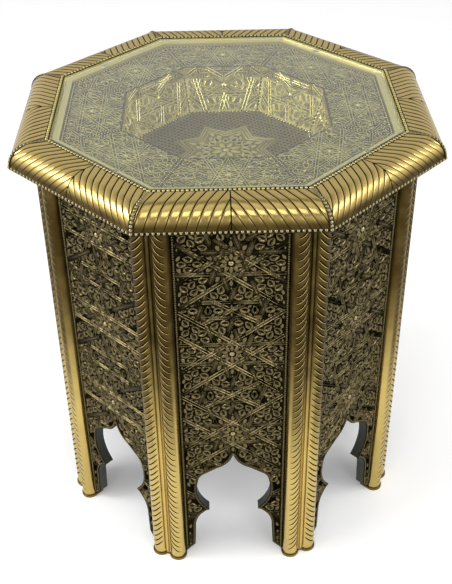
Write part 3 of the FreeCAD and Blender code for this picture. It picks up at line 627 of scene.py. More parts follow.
bend_tree, given, result = new_group(
    "bend_over_edge", "GeometryNodeTree",
    [SWEPT, ("Flat Width", "Float"), ("Round Radius", "Float")], [SWEPT])
place = position(bend_tree)
flat = sum_node(bend_tree, "MINIMUM", place["Y"], given["Flat Width"])
past_flat = sum_node(bend_tree, "SUBTRACT", place["Y"], flat)
angle = sum_node(bend_tree, "DIVIDE", past_flat, given["Round Radius"])
reach = sum_node(bend_tree, "ADD", place["Z"], given["Round Radius"])
out = sum_node(bend_tree, "MULTIPLY_ADD", reach, sum_node(bend_tree, "SINE", angle), flat)
rise = sum_node(bend_tree, "MULTIPLY", reach, sum_node(bend_tree, "COSINE", angle))
rise = sum_node(bend_tree, "SUBTRACT", rise, given["Round Radius"])
bent = add_node(bend_tree, "ShaderNodeCombineXYZ", X=place["X"], Y=out, Z=rise)
bent = add_node(bend_tree, "GeometryNodeSetPosition", Geometry=given["Geometry"], Position=bent.outputs[0])
feed(bend_tree, result["Geometry"], bent.outputs[0])
print("trees:", [tree.name for tree in bpy.data.node_groups])

# %% [markdown]
# ## Grooved rim
# The rim sheet lies flat for 20 mm and then rolls over a quarter-round nosing. Grooves cross it in pairs that
# lean away from a line at the middle of each side. They could be a bump, but the nosing's outline shows them,
# so each rib between two grooves is a flat band with round shoulders, swept along its drawn line. The front's
# ribs are wide and almost straight, and each half leans its own way, as the hand drew it; the ribs of the
# other seven sides curve like feathers.

# %% Ribs of the rim
OPENING = 194.3 * MM
RIM_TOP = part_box("rim_sheet_1")[1].z
RIM_FLAT = 20.2 * MM
NOSE_RADIUS = 23.5 * MM
NOSE_LENGTH = NOSE_RADIUS * math.pi / 2
NOSE_STEPS = 12
GROOVE = 1.4 * MM
GROOVE_TAPER = 0.6
RIB_START = 5.0 * MM
RIB_LIFT = 0.12 * MM
RIB_SECTION = {"Rise": 0.06, "Fullness": 0.3, "Finish": rib_brass}
MITRE_GAP = 0.8 * MM
FRONT_LEFT = {"spacing": 10.4 * MM, "lean": 0.55, "sweep": -2.0, "before": 4, "count": 14}
FRONT_RIGHT = {"spacing": 10.4 * MM, "lean": 0.66, "sweep": 0.0, "before": 4, "count": 14}
FEATHER = {"spacing": 9.4 * MM, "lean": 0.5, "sweep": 3.6, "before": 5, "count": 16}
OVER_NOSING = {"Flat Width": RIM_FLAT, "Round Radius": NOSE_RADIUS}
TOP_FRAME = Matrix.Translation((0, -OPENING, RIM_TOP)) @ Matrix.Rotation(math.pi, 4, "Z")


def rim_ribs(spacing, lean, sweep, before, count):
    """One half of a side's ribs, flat; x runs along the side and y across the sheet from the glass."""
    steps = [0, 0.5 * RIM_FLAT] + [RIM_FLAT + NOSE_LENGTH * k / NOSE_STEPS for k in range(NOSE_STEPS + 1)]
    slopes = [lean + 2 * sweep * y for y in steps]
    gaps = [GROOVE - GROOVE_TAPER * GROOVE * max(0, y - RIM_FLAT) / NOSE_LENGTH for y in steps]
    widths = [0.5 * (spacing / math.hypot(1, slope) - gap) for slope, gap in zip(slopes, gaps)]
    lines = []
    for k in range(count):
        start = (k + 0.5) * spacing - before * spacing
        lines.append([(start + lean * y + sweep * y * y, y, RIB_LIFT) for y in steps])
    return shaped(drawn(lines, half_width=[widths] * count), rib_tree, RIB_SECTION)


def bent_half(half):
    """Bends one half over the nosing and cuts it at the middle, the glass, the mitre and the lower edge."""
    half = shaped(show("flat_ribs", half), bend_tree, OVER_NOSING)
    half = trimmed(half, (GROOVE / 2, 0, 0), (-1, 0, 0))
    half = trimmed(half, (0, RIB_START, 0), (0, -1, 0))
    half = trimmed(half, (0, 0, -NOSE_RADIUS), (0, 0, -1))
    return trimmed(half, (-MITRE_GAP, -OPENING, 0), (math.cos(TURN / 2), -math.sin(TURN / 2), 0))


def rim_side(left, right):
    """Both halves of a side at their place; seen from outside, x runs to the left."""
    halves = [bent_half(rim_ribs(**left)), moved(bent_half(rim_ribs(**right)), MIRROR)]
    return moved(joined(halves), TOP_FRAME)


keep("rim_ribs_front", around(rim_side(FRONT_LEFT, FRONT_RIGHT), [0]), "rim_brass")
keep("rim_ribs_sides", around(rim_side(FEATHER, FEATHER), range(1, SIDES)), "rim_brass")

# %% [markdown]
# ## Rows of pearls
# Thin beaded strips cover every seam: along the glass, under the nosing, over the mitres, beside the panels
# and round the foot of the well. A strip is a shallow trough with a pearl punched up every few millimetres.
# The trough is two small ridges and a flat between them, swept along the drawn line; the pearls are copies of
# one low dome on evenly spaced points of the same line.

# %% Small round shapes
DOME_LIFTS = [math.radians(75) * share for share in (0, 0.5, 1)]


def ring_shape(rings, finish, middle=None):
    """A small shape of rings of points, joined from the outside in and closed by a face or round a middle."""
    work = bmesh.new()
    rings = [[work.verts.new(point) for point in ring] for ring in rings]
    places = range(-len(rings[0]), 0)  # counted from the end, so the last point is followed by the first
    for outer, inner in zip(rings, rings[1:]):
        for k in places:
            work.faces.new((outer[k], outer[k + 1], inner[k + 1], inner[k]))
    if middle:
        tip = work.verts.new(middle)
        for k in places:
            work.faces.new((rings[-1][k], rings[-1][k + 1], tip))
    else:
        work.faces.new(rings[-1])
    mesh = bpy.data.meshes.new("ring_shape")
    work.to_mesh(mesh)
    work.free()
    mesh.materials.append(finish)
    return mesh


def turned_shape(profile, sides, finish):
    """A small round shape from rings of (radius, height), the last one closed in the middle."""
    turns = [2 * math.pi * k / sides for k in range(sides)]
    rings = [[(radius * math.cos(turn), radius * math.sin(turn), height) for turn in turns]
             for radius, height in profile]
    return ring_shape(rings, finish, (0, 0, profile[-1][1]))


def low_dome(radius, height, sides, finish):
    """A low round dome on the sheet."""
    profile = [(radius * math.cos(lift), height * math.sin(lift)) for lift in DOME_LIFTS]
    return turned_shape(profile, sides, finish)


print("rings in a dome:", len(DOME_LIFTS))

# %% Trees for bands and beads
BAND_EDGE = 0.62
RIDGE_OUTER = 0.52
RIDGE_FOOT = 0.03
GROOVE_BED = 0.05

band_tree, given, result = new_group(
    "bands", "GeometryNodeTree",
    [SWEPT, ("Width", "Float"), ("Groove", "Float"), ("Rise", "Float"), ("Rubbed Height", "Float"), FINISH],
    [SWEPT])
inner = given["Groove"]
middle = sum_node(band_tree, "MULTIPLY_ADD", inner, 0.5, RIDGE_OUTER / 2)
ridge = [(BAND_EDGE, 0.0), (RIDGE_OUTER, RIDGE_FOOT), (middle, 1.0), (inner, GROOVE_BED)]
section = add_node(band_tree, "GeometryNodeJoinGeometry")
corners = []
for hand, half in ((-1, ridge), (1, ridge[::-1])):
    for share, height in half:
        across = sum_node(band_tree, "MULTIPLY", sum_node(band_tree, "MULTIPLY", given["Width"], hand), share)
        up = sum_node(band_tree, "MULTIPLY", given["Rise"], -height)
        corners.append(add_node(band_tree, "ShaderNodeCombineXYZ", X=across, Y=up).outputs[0])
for start, end in zip(corners, corners[1:]):
    facet = add_node(band_tree, "GeometryNodeCurvePrimitiveLine", Start=start, End=end)
    band_tree.links.new(facet.outputs[0], section.inputs[0])
swept = add_node(band_tree, "GeometryNodeCurveToMesh", Curve=rails(band_tree, given["Geometry"]),
                 Profile_Curve=section.outputs[0])
close_tree(band_tree, swept.outputs[0], given["Rubbed Height"], given["Finish"], result)

bead_tree, given, result = new_group(
    "beads", "GeometryNodeTree",
    [SWEPT, ("Pitch", "Float"), ("Height", "Float"), ("Bead", "Object"), FINISH], [SWEPT])
spaced = add_node(bead_tree, "GeometryNodeCurveToPoints", {"mode": "LENGTH"},
                  Curve=rails(bead_tree, given["Geometry"]), Length=given["Pitch"])
bead = add_node(bead_tree, "GeometryNodeObjectInfo", Object=given["Bead"]).outputs["Geometry"]
set_out = add_node(bead_tree, "GeometryNodeInstanceOnPoints", Points=spaced.outputs["Points"], Instance=bead)
close_tree(bead_tree, set_out.outputs[0], given["Height"], given["Finish"], result)
print("facets across a band:", len(corners) - 1)

# %% Pearls of the rim
TROUGH_GROOVE = 0.27
TROUGH_RUBBED = 1.2
PEARL_RUBBED = 0.55
LOW_EDGING = 0.1
# A row of pearls is its width, height and pitch, and the sides of a pearl.
INNER_PEARLS = 4.4 * MM, 1.5 * MM, 4.7 * MM, 8
INNER_ACROSS = 2.5 * MM
INNER_OVERLAP = 0.5 * MM
LOWER_PEARLS = 4.6 * MM, 2.0 * MM, 5.4 * MM, 8
LOWER_LEVEL = (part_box("rim_lower_beads")[0].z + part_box("rim_lower_beads")[1].z) / 2
RIM_REACH = -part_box("rim_sheet_1")[0].y
MITRE_PEARLS = 5.0 * MM, 1.2 * MM, 4.0 * MM, 6
MITRE_STEPS = 20


def pearl_row(lines, finish, width, height, pitch, sides, edging=0.4, bead=0.42):
    """A trough with pearls along each of the drawn lines, flat on the sheet."""
    trough = {"Width": width, "Groove": TROUGH_GROOVE, "Rise": edging * height,
              "Rubbed Height": TROUGH_RUBBED * height, "Finish": finish}
    pearl = show("pearl", low_dome(bead * width, height, sides, finish))
    pearls = {"Pitch": pitch, "Height": PEARL_RUBBED * height, "Bead": pearl, "Finish": finish}
    parts = [shaped(drawn(lines), band_tree, trough), shaped(drawn(lines), bead_tree, pearls)]
    bpy.data.objects.remove(pearl)
    return joined(parts)


def level_line(half, across):
    """One line along a side, at a distance across the flat work, as a list of lines."""
    return [[(-half, across, 0), (half, across, 0)]]


def upright_frame(apothem):
    """Where flat work stands on the front: x along the side, y up, z towards the front."""
    return Matrix.Translation((0, -apothem, 0)) @ Matrix.Rotation(math.pi / 2, 4, "X")


inner_line = level_line((OPENING + INNER_OVERLAP) * SLANT, INNER_ACROSS)
inner_row = pearl_row(inner_line, dotted_brass, *INNER_PEARLS, edging=LOW_EDGING)
keep("rim_inner_pearls", around(moved(inner_row, TOP_FRAME)), "bead_brass", "rim_inner_beads")

lower_row = pearl_row(level_line(RIM_REACH * SLANT, LOWER_LEVEL), pearl_brass, *LOWER_PEARLS)
lower_row = moved(lower_row, upright_frame(RIM_REACH))
keep("rim_lower_pearls", around(lower_row), "bead_brass", "rim_lower_beads")

mitre_length = RIM_FLAT + NOSE_LENGTH - RIB_START
mitre_line = [(0, RIB_START + mitre_length * k / MITRE_STEPS, 0) for k in range(MITRE_STEPS + 1)]
mitre_row = show("flat_row", pearl_row([mitre_line], pearl_brass, *MITRE_PEARLS))
mitre_row = shaped(mitre_row, bend_tree, OVER_NOSING)
outwards = Matrix.Scale(1 / math.cos(TURN / 2), 4, (0, 1, 0))
mitre_row = moved(mitre_row, Matrix.Rotation(TURN / 2, 4, "Z") @ outwards @ TOP_FRAME)
keep("rim_mitre_pearls", around(mitre_row), "bead_brass", "mitre_beads")

# %% [markdown]
# ## Star lattice of the panels
# Each panel carries three ten-pointed stars, one above the other. Ten straps, all at the same distance from a
# star's middle, cross to make its points and then run on: the level ones to the panel's edges, the steep ones
# past the five-pointed holes, the sloping ones to the next star's straps. The lattice is drawn here as
# straight lines in millimetres from the star's middle, so a change of one radius redraws all of it.

# %% Draw the lattice
STAR_POINT = 44.3
STAR_PERIOD = 122.2
STRAP_OFFSET = STAR_POINT * math.cos(math.radians(72))
HALF_PERIOD = STAR_PERIOD / 2
LEVEL_STRAP = 50.6
LEVEL_REACH = 33.0
PAST_HOLE = 15.6
CROSS_REACH = 31.0
CROSS_RISE = 18.6
PARALLEL = 1e-9


def star_straps(middle, half_width):
    """The straps of one star and of the cross below it, as lines of flat points."""
    lines = []
    for up, hand in itertools.product((1, -1), (1, -1)):
        top_point = Vector((0, up * STAR_POINT))
        low_point = Vector((hand * math.cos(math.radians(54)), -up * math.sin(math.radians(54)))) * STAR_POINT
        side_point = Vector((-hand * math.sin(math.radians(72)) * STAR_POINT, up * STRAP_OFFSET))
        steep = (low_point - top_point).normalized()
        far_end = top_point + steep * ((HALF_PERIOD + PAST_HOLE + STAR_POINT) / abs(steep.y))
        bend = top_point - steep * ((LEVEL_STRAP - STAR_POINT) / abs(steep.y))
        lines.append([far_end, bend, Vector((-hand * LEVEL_REACH, up * LEVEL_STRAP))])
        slope = (low_point - side_point).normalized()
        lines.append([low_point + slope * ((half_width - abs(low_point.x)) / abs(slope.x)),
                      side_point - slope * ((half_width - abs(side_point.x)) / abs(slope.x))])
    for up in (1, -1):
        lines.append([Vector((-half_width, up * STRAP_OFFSET)), Vector((half_width, up * STRAP_OFFSET))])
        lines.append([Vector((-CROSS_REACH, -HALF_PERIOD + up * CROSS_RISE)),
                      Vector((CROSS_REACH, -HALF_PERIOD - up * CROSS_RISE))])
    return [[point + middle for point in line] for line in lines]


def crossing(start, end, other_start, other_end):
    """How far along two straight stretches they cross, each from 0 to 1, or None."""
    run, other, gap = end - start, other_end - other_start, other_start - start
    spread = run.cross(other)
    if abs(spread) < PARALLEL:
        return None
    here, there = gap.cross(other) / spread, gap.cross(run) / spread
    return (here, there) if 0 <= here <= 1 and 0 <= there <= 1 else None


print("straps of one star:", len(star_straps(Vector((0, 0)), LEVEL_STRAP)))

# %% Cut lines to an outline
SHORTEST = 3
NO_LENGTH = 1e-6


def edges_of(outline):
    """The straight stretches of a closed outline."""
    return list(zip(outline, outline[1:] + outline[:1]))


def inside(point, outline):
    """True where a point lies in a closed outline."""
    odd = False
    for start, end in edges_of(outline):
        if (start.y > point.y) != (end.y > point.y):
            odd ^= point.x < start.x + (point.y - start.y) / (end.y - start.y) * (end.x - start.x)
    return odd


def clipped(line, outline):
    """The stretches of a line that lie inside an outline."""
    kept = []
    current = []
    for start, end in zip(line, line[1:]):
        meets = [crossing(start, end, *edge) for edge in edges_of(outline)]
        cuts = sorted([0.0, 1.0] + [met[0] for met in meets if met])
        for low, high in zip(cuts, cuts[1:]):
            if high - low > NO_LENGTH and inside(start.lerp(end, (low + high) / 2), outline):
                current = current or [start.lerp(end, low)]
                current.append(start.lerp(end, high))
            elif current and high - low > NO_LENGTH:
                kept.append(current)
                current = []
    return kept + ([current] if current else [])


def cut_straps(middles, half_width, outline):
    """The straps of stars at the given middles, cut to an outline, without the shortest ends."""
    whole = [line for middle in middles for line in star_straps(middle, half_width)]
    lines = [part for line in whole for part in clipped(line, outline)]
    return [line for line in lines if sum((b - a).length for a, b in zip(line, line[1:])) > SHORTEST]


print("shortest strap kept:", SHORTEST, "mm")

# %% Draw the arch and the panel's outline
PANEL_HALF = 62.5
PANEL_TOP = 514.0
FIELD_HALF = 58.3
FIELD_FOOT = 5
TOP_STAR = 456.2
ARCH_BORDER = 3.0
# A step of the arch is its place and how far the stretch to the next one swells, as a share of its length.
ARCH_STEPS = [(0, 177.5, -0.13), (20, 154.5, 0), (34.6, 145.5, 0.14), (44, 131.5, 0.14),
              (30.5, 82, 0.13), (48.3, 56.5, 0), (50, 17.5, 0), (PANEL_HALF, 3.5, 0)]
ROUND_POINTS = 8
STRAIGHT_POINTS = 2


def mirrored(points):
    """Flat points on the other side of the middle line."""
    return [Vector((-point.x, point.y)) for point in points]


def half_arch(offset):
    """The arch's right half from the apex down, moved outwards from the opening by an offset."""
    points = []
    for (x, z, swell), (next_x, next_z, unused) in zip(ARCH_STEPS, ARCH_STEPS[1:]):
        start, end = Vector((x, z)), Vector((next_x, next_z))
        left = Vector((z - next_z, next_x - x))
        count = ROUND_POINTS if swell else STRAIGHT_POINTS
        for share in (k / count for k in range(count)):
            points.append(start.lerp(end, share) + left * (4 * swell * share * (1 - share)))
    points.append(end)
    shifted = []
    for before, point, after in zip(mirrored(points[1:2]) + points, points, points[1:] + points[-1:]):
        way = (after - before).normalized()
        shifted.append(point + Vector((-way.y, way.x)) * offset)
    return shifted


field_arch = [point for point in half_arch(ARCH_BORDER) if point.x < FIELD_HALF]
right_side = [Vector((FIELD_HALF, PANEL_TOP)), Vector((FIELD_HALF, FIELD_FOOT))]
FIELD_OUTLINE = (mirrored(right_side[:1]) + right_side + field_arch[::-1]
                 + mirrored(field_arch[1:]) + mirrored(right_side[1:]))
STAR_MIDDLES = [Vector((0, TOP_STAR - STAR_PERIOD * k)) for k in range(-1, 5)]
panel_lines = cut_straps(STAR_MIDDLES, PANEL_HALF, FIELD_OUTLINE)
print("straps in a panel:", len(panel_lines))

# %% Weave the straps
def meetings(lines):
    """For each line, in order, where it crosses which other line, and where on that one."""
    meets = [[] for line in lines]
    for one, other in itertools.combinations(range(len(lines)), 2):
        for a, b in itertools.product(range(len(lines[one]) - 1), range(len(lines[other]) - 1)):
            met = crossing(*lines[one][a:a + 2], *lines[other][b:b + 2])
            if met:
                meets[one].append((a + met[0], other, b + met[1]))
                meets[other].append((b + met[1], one, a + met[0]))
    return [sorted(met) for met in meets]


def first_turns(meets):
    """Whether each line starts over or under, so that it takes turns with the lines it crosses."""
    first_over = {}
    for seed in range(len(meets)):
        waiting = [(seed, True)]
        while waiting:
            line, over = waiting.pop()
            if line in first_over:
                continue
            first_over[line] = over
            for turn, (here, other, there) in enumerate(meets[line]):
                place = [mark for mark, *rest in meets[other]].index(there)
                waiting.append((other, (over != (turn % 2 == 0)) != (place % 2 == 1)))
    return [first_over[line] for line in range(len(meets))]


def woven(lines, lift):
    """Adds a point at each crossing, lifted or pressed down by turns, and gives the lines in metres."""
    meets = meetings(lines)
    laid = []
    for line, met, over in zip(lines, meets, first_turns(meets)):
        marks = [(float(k), 0.0) for k in range(len(line))]
        marks += [(here, lift if over == (turn % 2 == 0) else -lift)
                  for turn, (here, other, there) in enumerate(met)]
        points = []
        for mark, height in sorted(marks):
            k = min(int(mark), len(line) - 2)
            spot = line[k].lerp(line[k + 1], mark - k)
            points.append(Vector((spot.x * MM, spot.y * MM, height)))
        laid.append(points)
    return laid


print("crossings in a panel:", sum(map(len, meetings(panel_lines))) // 2)

# %% Straps of the panels
PANEL_STRAPS = {"width": 4.2 * MM, "groove": 0.27, "rise": 0.62 * MM, "lift": 0.22 * MM, "rubbed": 0.65}
PANEL_FRAME = upright_frame(-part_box("panel_sheet_1")[0].y)


def strap_work(lines, finish, width, groove, rise, lift, rubbed):
    """Woven straps on the flat sheet, rubbed bright down to a share of their height."""
    sizes = {"Width": width, "Groove": groove, "Rise": rise, "Rubbed Height": rubbed * rise, "Finish": finish}
    return shaped(drawn(woven(lines, lift)), band_tree, sizes)


panel_straps = strap_work(panel_lines, relief_brass, **PANEL_STRAPS)
for hand in (-1, 1):
    panel_straps = trimmed(panel_straps, (hand * FIELD_HALF * MM, 0, 0), (hand, 0, 0))
keep("panel_straps", around(moved(panel_straps, PANEL_FRAME), smooth=False), "panel_brass")

# %% [markdown]
# ## Leaves, daisies and bosses
# Between the straps the sheet is worked into leaves: drops with a dark slit, small solid petals, and at each
# star's middle a ten-petalled daisy round a bright boss. One drop, one petal and one boss are modelled with a
# few faces each, and a tree sets copies on drawn points, turned and sized by the points' own values. The
# points come from packing: each free spot takes the largest leaf that fits, until only slits are left. One
# quarter of a star's cell is packed, and mirrored to the other three.

# %% Model the leaves
LEAF_POINTS = 8
LEAF_TAPER = 0.28
LEAF_POINTED = 0.6
LEAF_HEIGHT = 1.2 * MM
LEAF_FOOT = 0.03 * MM
# A leaf's rings are the half length and half width of each, for a leaf about 1 long, and their heights.
DROP_RINGS = ([(0.54, 0.43), (0.46, 0.35), (0.39, 0.24), (0.32, 0.14), (0.30, 0.11)],
              [LEAF_FOOT, LEAF_HEIGHT, 0.85 * LEAF_HEIGHT, 0.3 * LEAF_HEIGHT, LEAF_FOOT])
PETAL_RINGS = [(0.55, 0.32), (0.44, 0.21), (0.30, 0.05)], [LEAF_FOOT, 0.8 * LEAF_HEIGHT, LEAF_HEIGHT]
OPEN_RINGS = [(0.60, 0.38), (0.53, 0.31), (0.45, 0.23)], [LEAF_FOOT, 0.4 * LEAF_HEIGHT, LEAF_FOOT]


def leaf_shape(half_sizes, heights, finish):
    """A pointed leaf along +Y, of rings joined from the outside in."""
    rings = []
    for (half_length, half_width), height in zip(half_sizes, heights):
        ring = []
        for turn in (2 * math.pi * k / LEAF_POINTS for k in range(LEAF_POINTS)):
            taper = 1 - LEAF_TAPER * math.sin(turn)
            across = half_width * taper * math.cos(turn) * abs(math.cos(turn)) ** LEAF_POINTED
            ring.append((across, half_length * math.sin(turn), height))
        rings.append(ring)
    return ring_shape(rings, finish)


scatter_tree, given, result = new_group(
    "scatter", "GeometryNodeTree", [SWEPT, ("Leaf", "Object"), ("Height", "Float"), FINISH], [SWEPT])
turned = add_node(scatter_tree, "ShaderNodeCombineXYZ", Z=named(scatter_tree, "turn")).outputs[0]
leaf = add_node(scatter_tree, "GeometryNodeObjectInfo", Object=given["Leaf"]).outputs["Geometry"]
points = add_node(scatter_tree, "GeometryNodeMeshToPoints", Mesh=given["Geometry"]).outputs[0]
size = named(scatter_tree, "size")
size = add_node(scatter_tree, "ShaderNodeCombineXYZ", X=size, Y=size, Z=1.0).outputs[0]
set_out = add_node(scatter_tree, "GeometryNodeInstanceOnPoints", Points=points, Instance=leaf,
                   Rotation=turned, Scale=size)
close_tree(scatter_tree, set_out.outputs[0], given["Height"], given["Finish"], result)


def scattered(marks, shape, height, finish):
    """Copies of a shape at marks of (x, y, turn, size), all in millimetres and degrees."""
    source = drawn([[(x * MM, y * MM, 0)] for x, y, turn, size in marks],
                   turn=[[math.radians(turn)] for x, y, turn, size in marks],
                   size=[[size * MM] for x, y, turn, size in marks])
    leaf = show("leaf", shape)
    made = shaped(source, scatter_tree, {"Leaf": leaf, "Height": height, "Finish": finish})
    bpy.data.objects.remove(leaf)
    return made


print("rings of a drop and a petal:", len(DROP_RINGS[0]), len(PETAL_RINGS[0]))

# %% Find room between the straps
STRAP_KEEP = 2.6
SMALLEST = 1.2
LARGEST = 4.6
GRID = 1.1
DAISY_REACH = 14
LEAF_GAP = 0.3
END_REACH = 0.7
END_ROOM = 0.6
WAY_STEP = 15
NEARLY = 0.01


def gap_to(point, start, end):
    """The distance from a point to a straight stretch."""
    run = end - start
    share = max(0.0, min(1.0, (point - start).dot(run) / run.length_squared))
    return (point - start - run * share).length


def quarter_spots():
    """Grid points of a quarter cell with their room: the distance to straps, borders and mirror lines."""
    straps = [pair for k in (-1, 0, 1) for line in star_straps(Vector((0, k * STAR_PERIOD)), PANEL_HALF)
              for pair in zip(line, line[1:])]
    columns = int(FIELD_HALF / GRID)
    rows = round(HALF_PERIOD / GRID)
    spots = []
    for column, row in itertools.product(range(columns), range(rows + 1)):
        spot = Vector((column * GRID, row * HALF_PERIOD / rows))
        room = min([gap_to(spot, *strap) - STRAP_KEEP for strap in straps] + [FIELD_HALF - spot.x])
        room = min([room] + [away for away in (spot.x, spot.y, HALF_PERIOD - spot.y) if away > NEARLY])
        if room > SMALLEST and spot.length > DAISY_REACH:
            spots.append([room, spot])
    return spots


def heading(way):
    """The unit vector at an angle in degrees."""
    return Vector((math.cos(math.radians(way)), math.sin(math.radians(way))))


def freest_way(spot, room, ways, spots):
    """The way whose two ends have the most room round them, or straight up where none has any."""
    best = 0
    freest = 90
    for way in ways:
        ahead = heading(way) * room
        free = sum(there for there, place in spots
                   if min((place - spot - ahead).length, (place - spot + ahead).length) < GRID)
        if free > best:
            best = free
            freest = way
    return freest


def packed(spots, levels=()):
    """Leaves as (spot, turn, half width), large ones first, each along its freest way or a mirror line."""
    leaves = []
    while spots:
        room, spot = min(spots, key=lambda entry: abs(entry[0] - LARGEST))
        room = min(room, LARGEST)
        on_axis = spot.x < NEARLY or any(abs(spot.y - level) < NEARLY for level in levels)
        way = freest_way(spot, room, range(0, 180, 90 if on_axis else WAY_STEP), spots)
        leaves.append((spot, way - 90, room))
        end = heading(way) * room * END_REACH
        taken = (spot, room), (spot + end, END_ROOM * room), (spot - end, END_ROOM * room)
        for entry, (middle, radius) in itertools.product(spots, taken):
            entry[0] = min(entry[0], (entry[1] - middle).length - radius - LEAF_GAP)
        spots = [entry for entry in spots if entry[0] > SMALLEST]
    return leaves


PANEL_LEAVES = packed(quarter_spots(), (0, HALF_PERIOD))
print("leaves in a quarter cell:", len(PANEL_LEAVES))

# %% Set leaves between the straps
DROP_LEAST = 3.4
LEAF_HALF_WIDTH = 0.38
LEAF_RUBBED = 0.35
FIT_REACH = 0.3


def polar(radius, angle, turn, size):
    """A mark at a radius and angle from a star's middle, turned from pointing outwards."""
    return (radius * math.cos(math.radians(angle)), radius * math.sin(math.radians(angle)),
            angle - 90 + turn, size)


DAISY = [polar(8.6, 36 * k + 18, 0, 9) for k in range(10)]


def star_marks(leaves):
    """Marks of the drops and petals round one star, from its middle, with a quarter's leaves mirrored."""
    drops = {}
    petals = dict(enumerate(DAISY))
    for (spot, turn, room), hand, up in itertools.product(leaves, (1, -1), (1, -1)):
        kind = drops if room > DROP_LEAST else petals
        place = round(spot.x * hand, 2) + 0.0, round(spot.y * up, 2) + 0.0
        kind[place] = place + (turn * hand * up, room / LEAF_HALF_WIDTH)
    return list(drops.values()), list(petals.values())


def set_round(middles, marks):
    """Marks repeated round each of the middles."""
    return [(x + middle.x, y + middle.y, turn, size) for middle in middles for x, y, turn, size in marks]


def fits(mark, outline):
    """True where four points round a leaf's middle lie inside an outline."""
    x, y, turn, size = mark
    reach = FIT_REACH * size
    corners = [Vector((x + dx * reach, y + dy * reach)) for dx, dy in ((1, 0), (-1, 0), (0, 1), (0, -1))]
    return all(inside(corner, outline) for corner in corners)


def leaf_work(marks, outline, rings, finish):
    """Leaves of one shape at those marks where they fit inside an outline."""
    fitting = [mark for mark in marks if fits(mark, outline)]
    return scattered(fitting, leaf_shape(*rings, finish), LEAF_RUBBED * max(rings[1]), finish)


panel_leaves = joined([leaf_work(set_round(STAR_MIDDLES, marks), FIELD_OUTLINE, rings, relief_brass)
                       for marks, rings in zip(star_marks(PANEL_LEAVES), (DROP_RINGS, PETAL_RINGS))])
keep("panel_leaves", around(moved(panel_leaves, PANEL_FRAME), smooth=False), "panel_brass")

# %% Bosses on the stars
BOSS_RADIUS = 3.4
BOSS_SIDES = 10
BOSS_RUBBED = 1.2 * MM
PANEL_BOSS = 2.2 * MM


def boss_work(middles, outline, height, finish):
    """Round bosses on those middles that lie inside an outline, as a list of one mesh or none."""
    marks = [(middle.x, middle.y, 0, BOSS_RADIUS) for middle in middles if inside(middle, outline)]
    if not marks:
        return []
    return [scattered(marks, low_dome(1.0, height, BOSS_SIDES, finish), BOSS_RUBBED, finish)]


bosses = joined(boss_work(STAR_MIDDLES, FIELD_OUTLINE, PANEL_BOSS, pearl_brass))
keep("panel_bosses", around(moved(bosses, PANEL_FRAME)), "panel_brass")

# %% Pearls beside the panels and round the arches
SIDE_PEARLS = 4.0 * MM, 1.2 * MM, 3.0 * MM, 5
SIDE_ACROSS = 60.5
SIDE_FOOT = 9.5
ARCH_PEARLS = 3.4 * MM, 1.3 * MM, 3.0 * MM, 5
ARCH_OFFSET = 1.9
ARCH_HALF = 58


def in_metres(points):
    """Flat points in millimetres as points on the sheet in metres."""
    return [(point.x * MM, point.y * MM, 0) for point in points]


right_line = [Vector((SIDE_ACROSS, SIDE_FOOT)), Vector((SIDE_ACROSS, PANEL_TOP))]
side_lines = [in_metres(line) for line in (mirrored(right_line), right_line)]
side_rows = pearl_row(side_lines, relief_brass, *SIDE_PEARLS)
keep("panel_side_pearls", around(moved(side_rows, PANEL_FRAME)), "bead_brass", "panel_side_beads")

right_border = [point for point in half_arch(ARCH_OFFSET) if point.x < ARCH_HALF]
border = mirrored(right_border[:0:-1]) + right_border
border_row = pearl_row([in_metres(border)], relief_brass, *ARCH_PEARLS)
keep("arch_border_pearls", around(moved(border_row, PANEL_FRAME)), "bead_brass")

# %% [markdown]
# ## Tray and well under the glass
# The same lattice covers the eight fields of the tray, the leaning walls of the well and the collar at its
# mouth. The sheet is thinner work here: the straps lie flat across each other, and the leaves are open
# outlines. The lattice could be cut from the panel's, but a cut cell would lose its leaves, so each field is
# drawn flat, cut at its two mitres, packed by itself and turned to the eight sides. The floor of the well has
# its own design: an eight-pointed star of three lines, filled with a rosette, on a ground of punched dimples.

# %% Fields of lattice
FINE_STRAPS = {"width": 5.6 * MM, "groove": 0.17, "lift": 0.0, "rubbed": 0.42}
FINE_KEEP = 3.2
FINE_GRID = 1.4
FINE_BOSS = 2.0 * MM


def field_spots(lines, middles, outline):
    """Grid points of a field's right half with their room, clear of straps, edges and daisies."""
    straps = [pair for line in lines for pair in zip(line, line[1:])]
    low, high = (bound(corner.y for corner in outline) for bound in (min, max))
    columns = int(max(corner.x for corner in outline) / FINE_GRID) + 1
    rows = int((high - low) / FINE_GRID) + 1
    spots = []
    for column, row in itertools.product(range(columns), range(rows)):
        spot = Vector((column * FINE_GRID, low + row * FINE_GRID))
        rooms = [gap_to(spot, *strap) - FINE_KEEP for strap in straps]
        rooms += [gap_to(spot, *edge) for edge in edges_of(outline)]
        rooms += [(spot - middle).length - DAISY_REACH for middle in middles]
        rooms += [spot.x] if column else []
        if min(rooms) > SMALLEST and inside(spot, outline):
            spots.append([min(rooms), spot])
    return spots


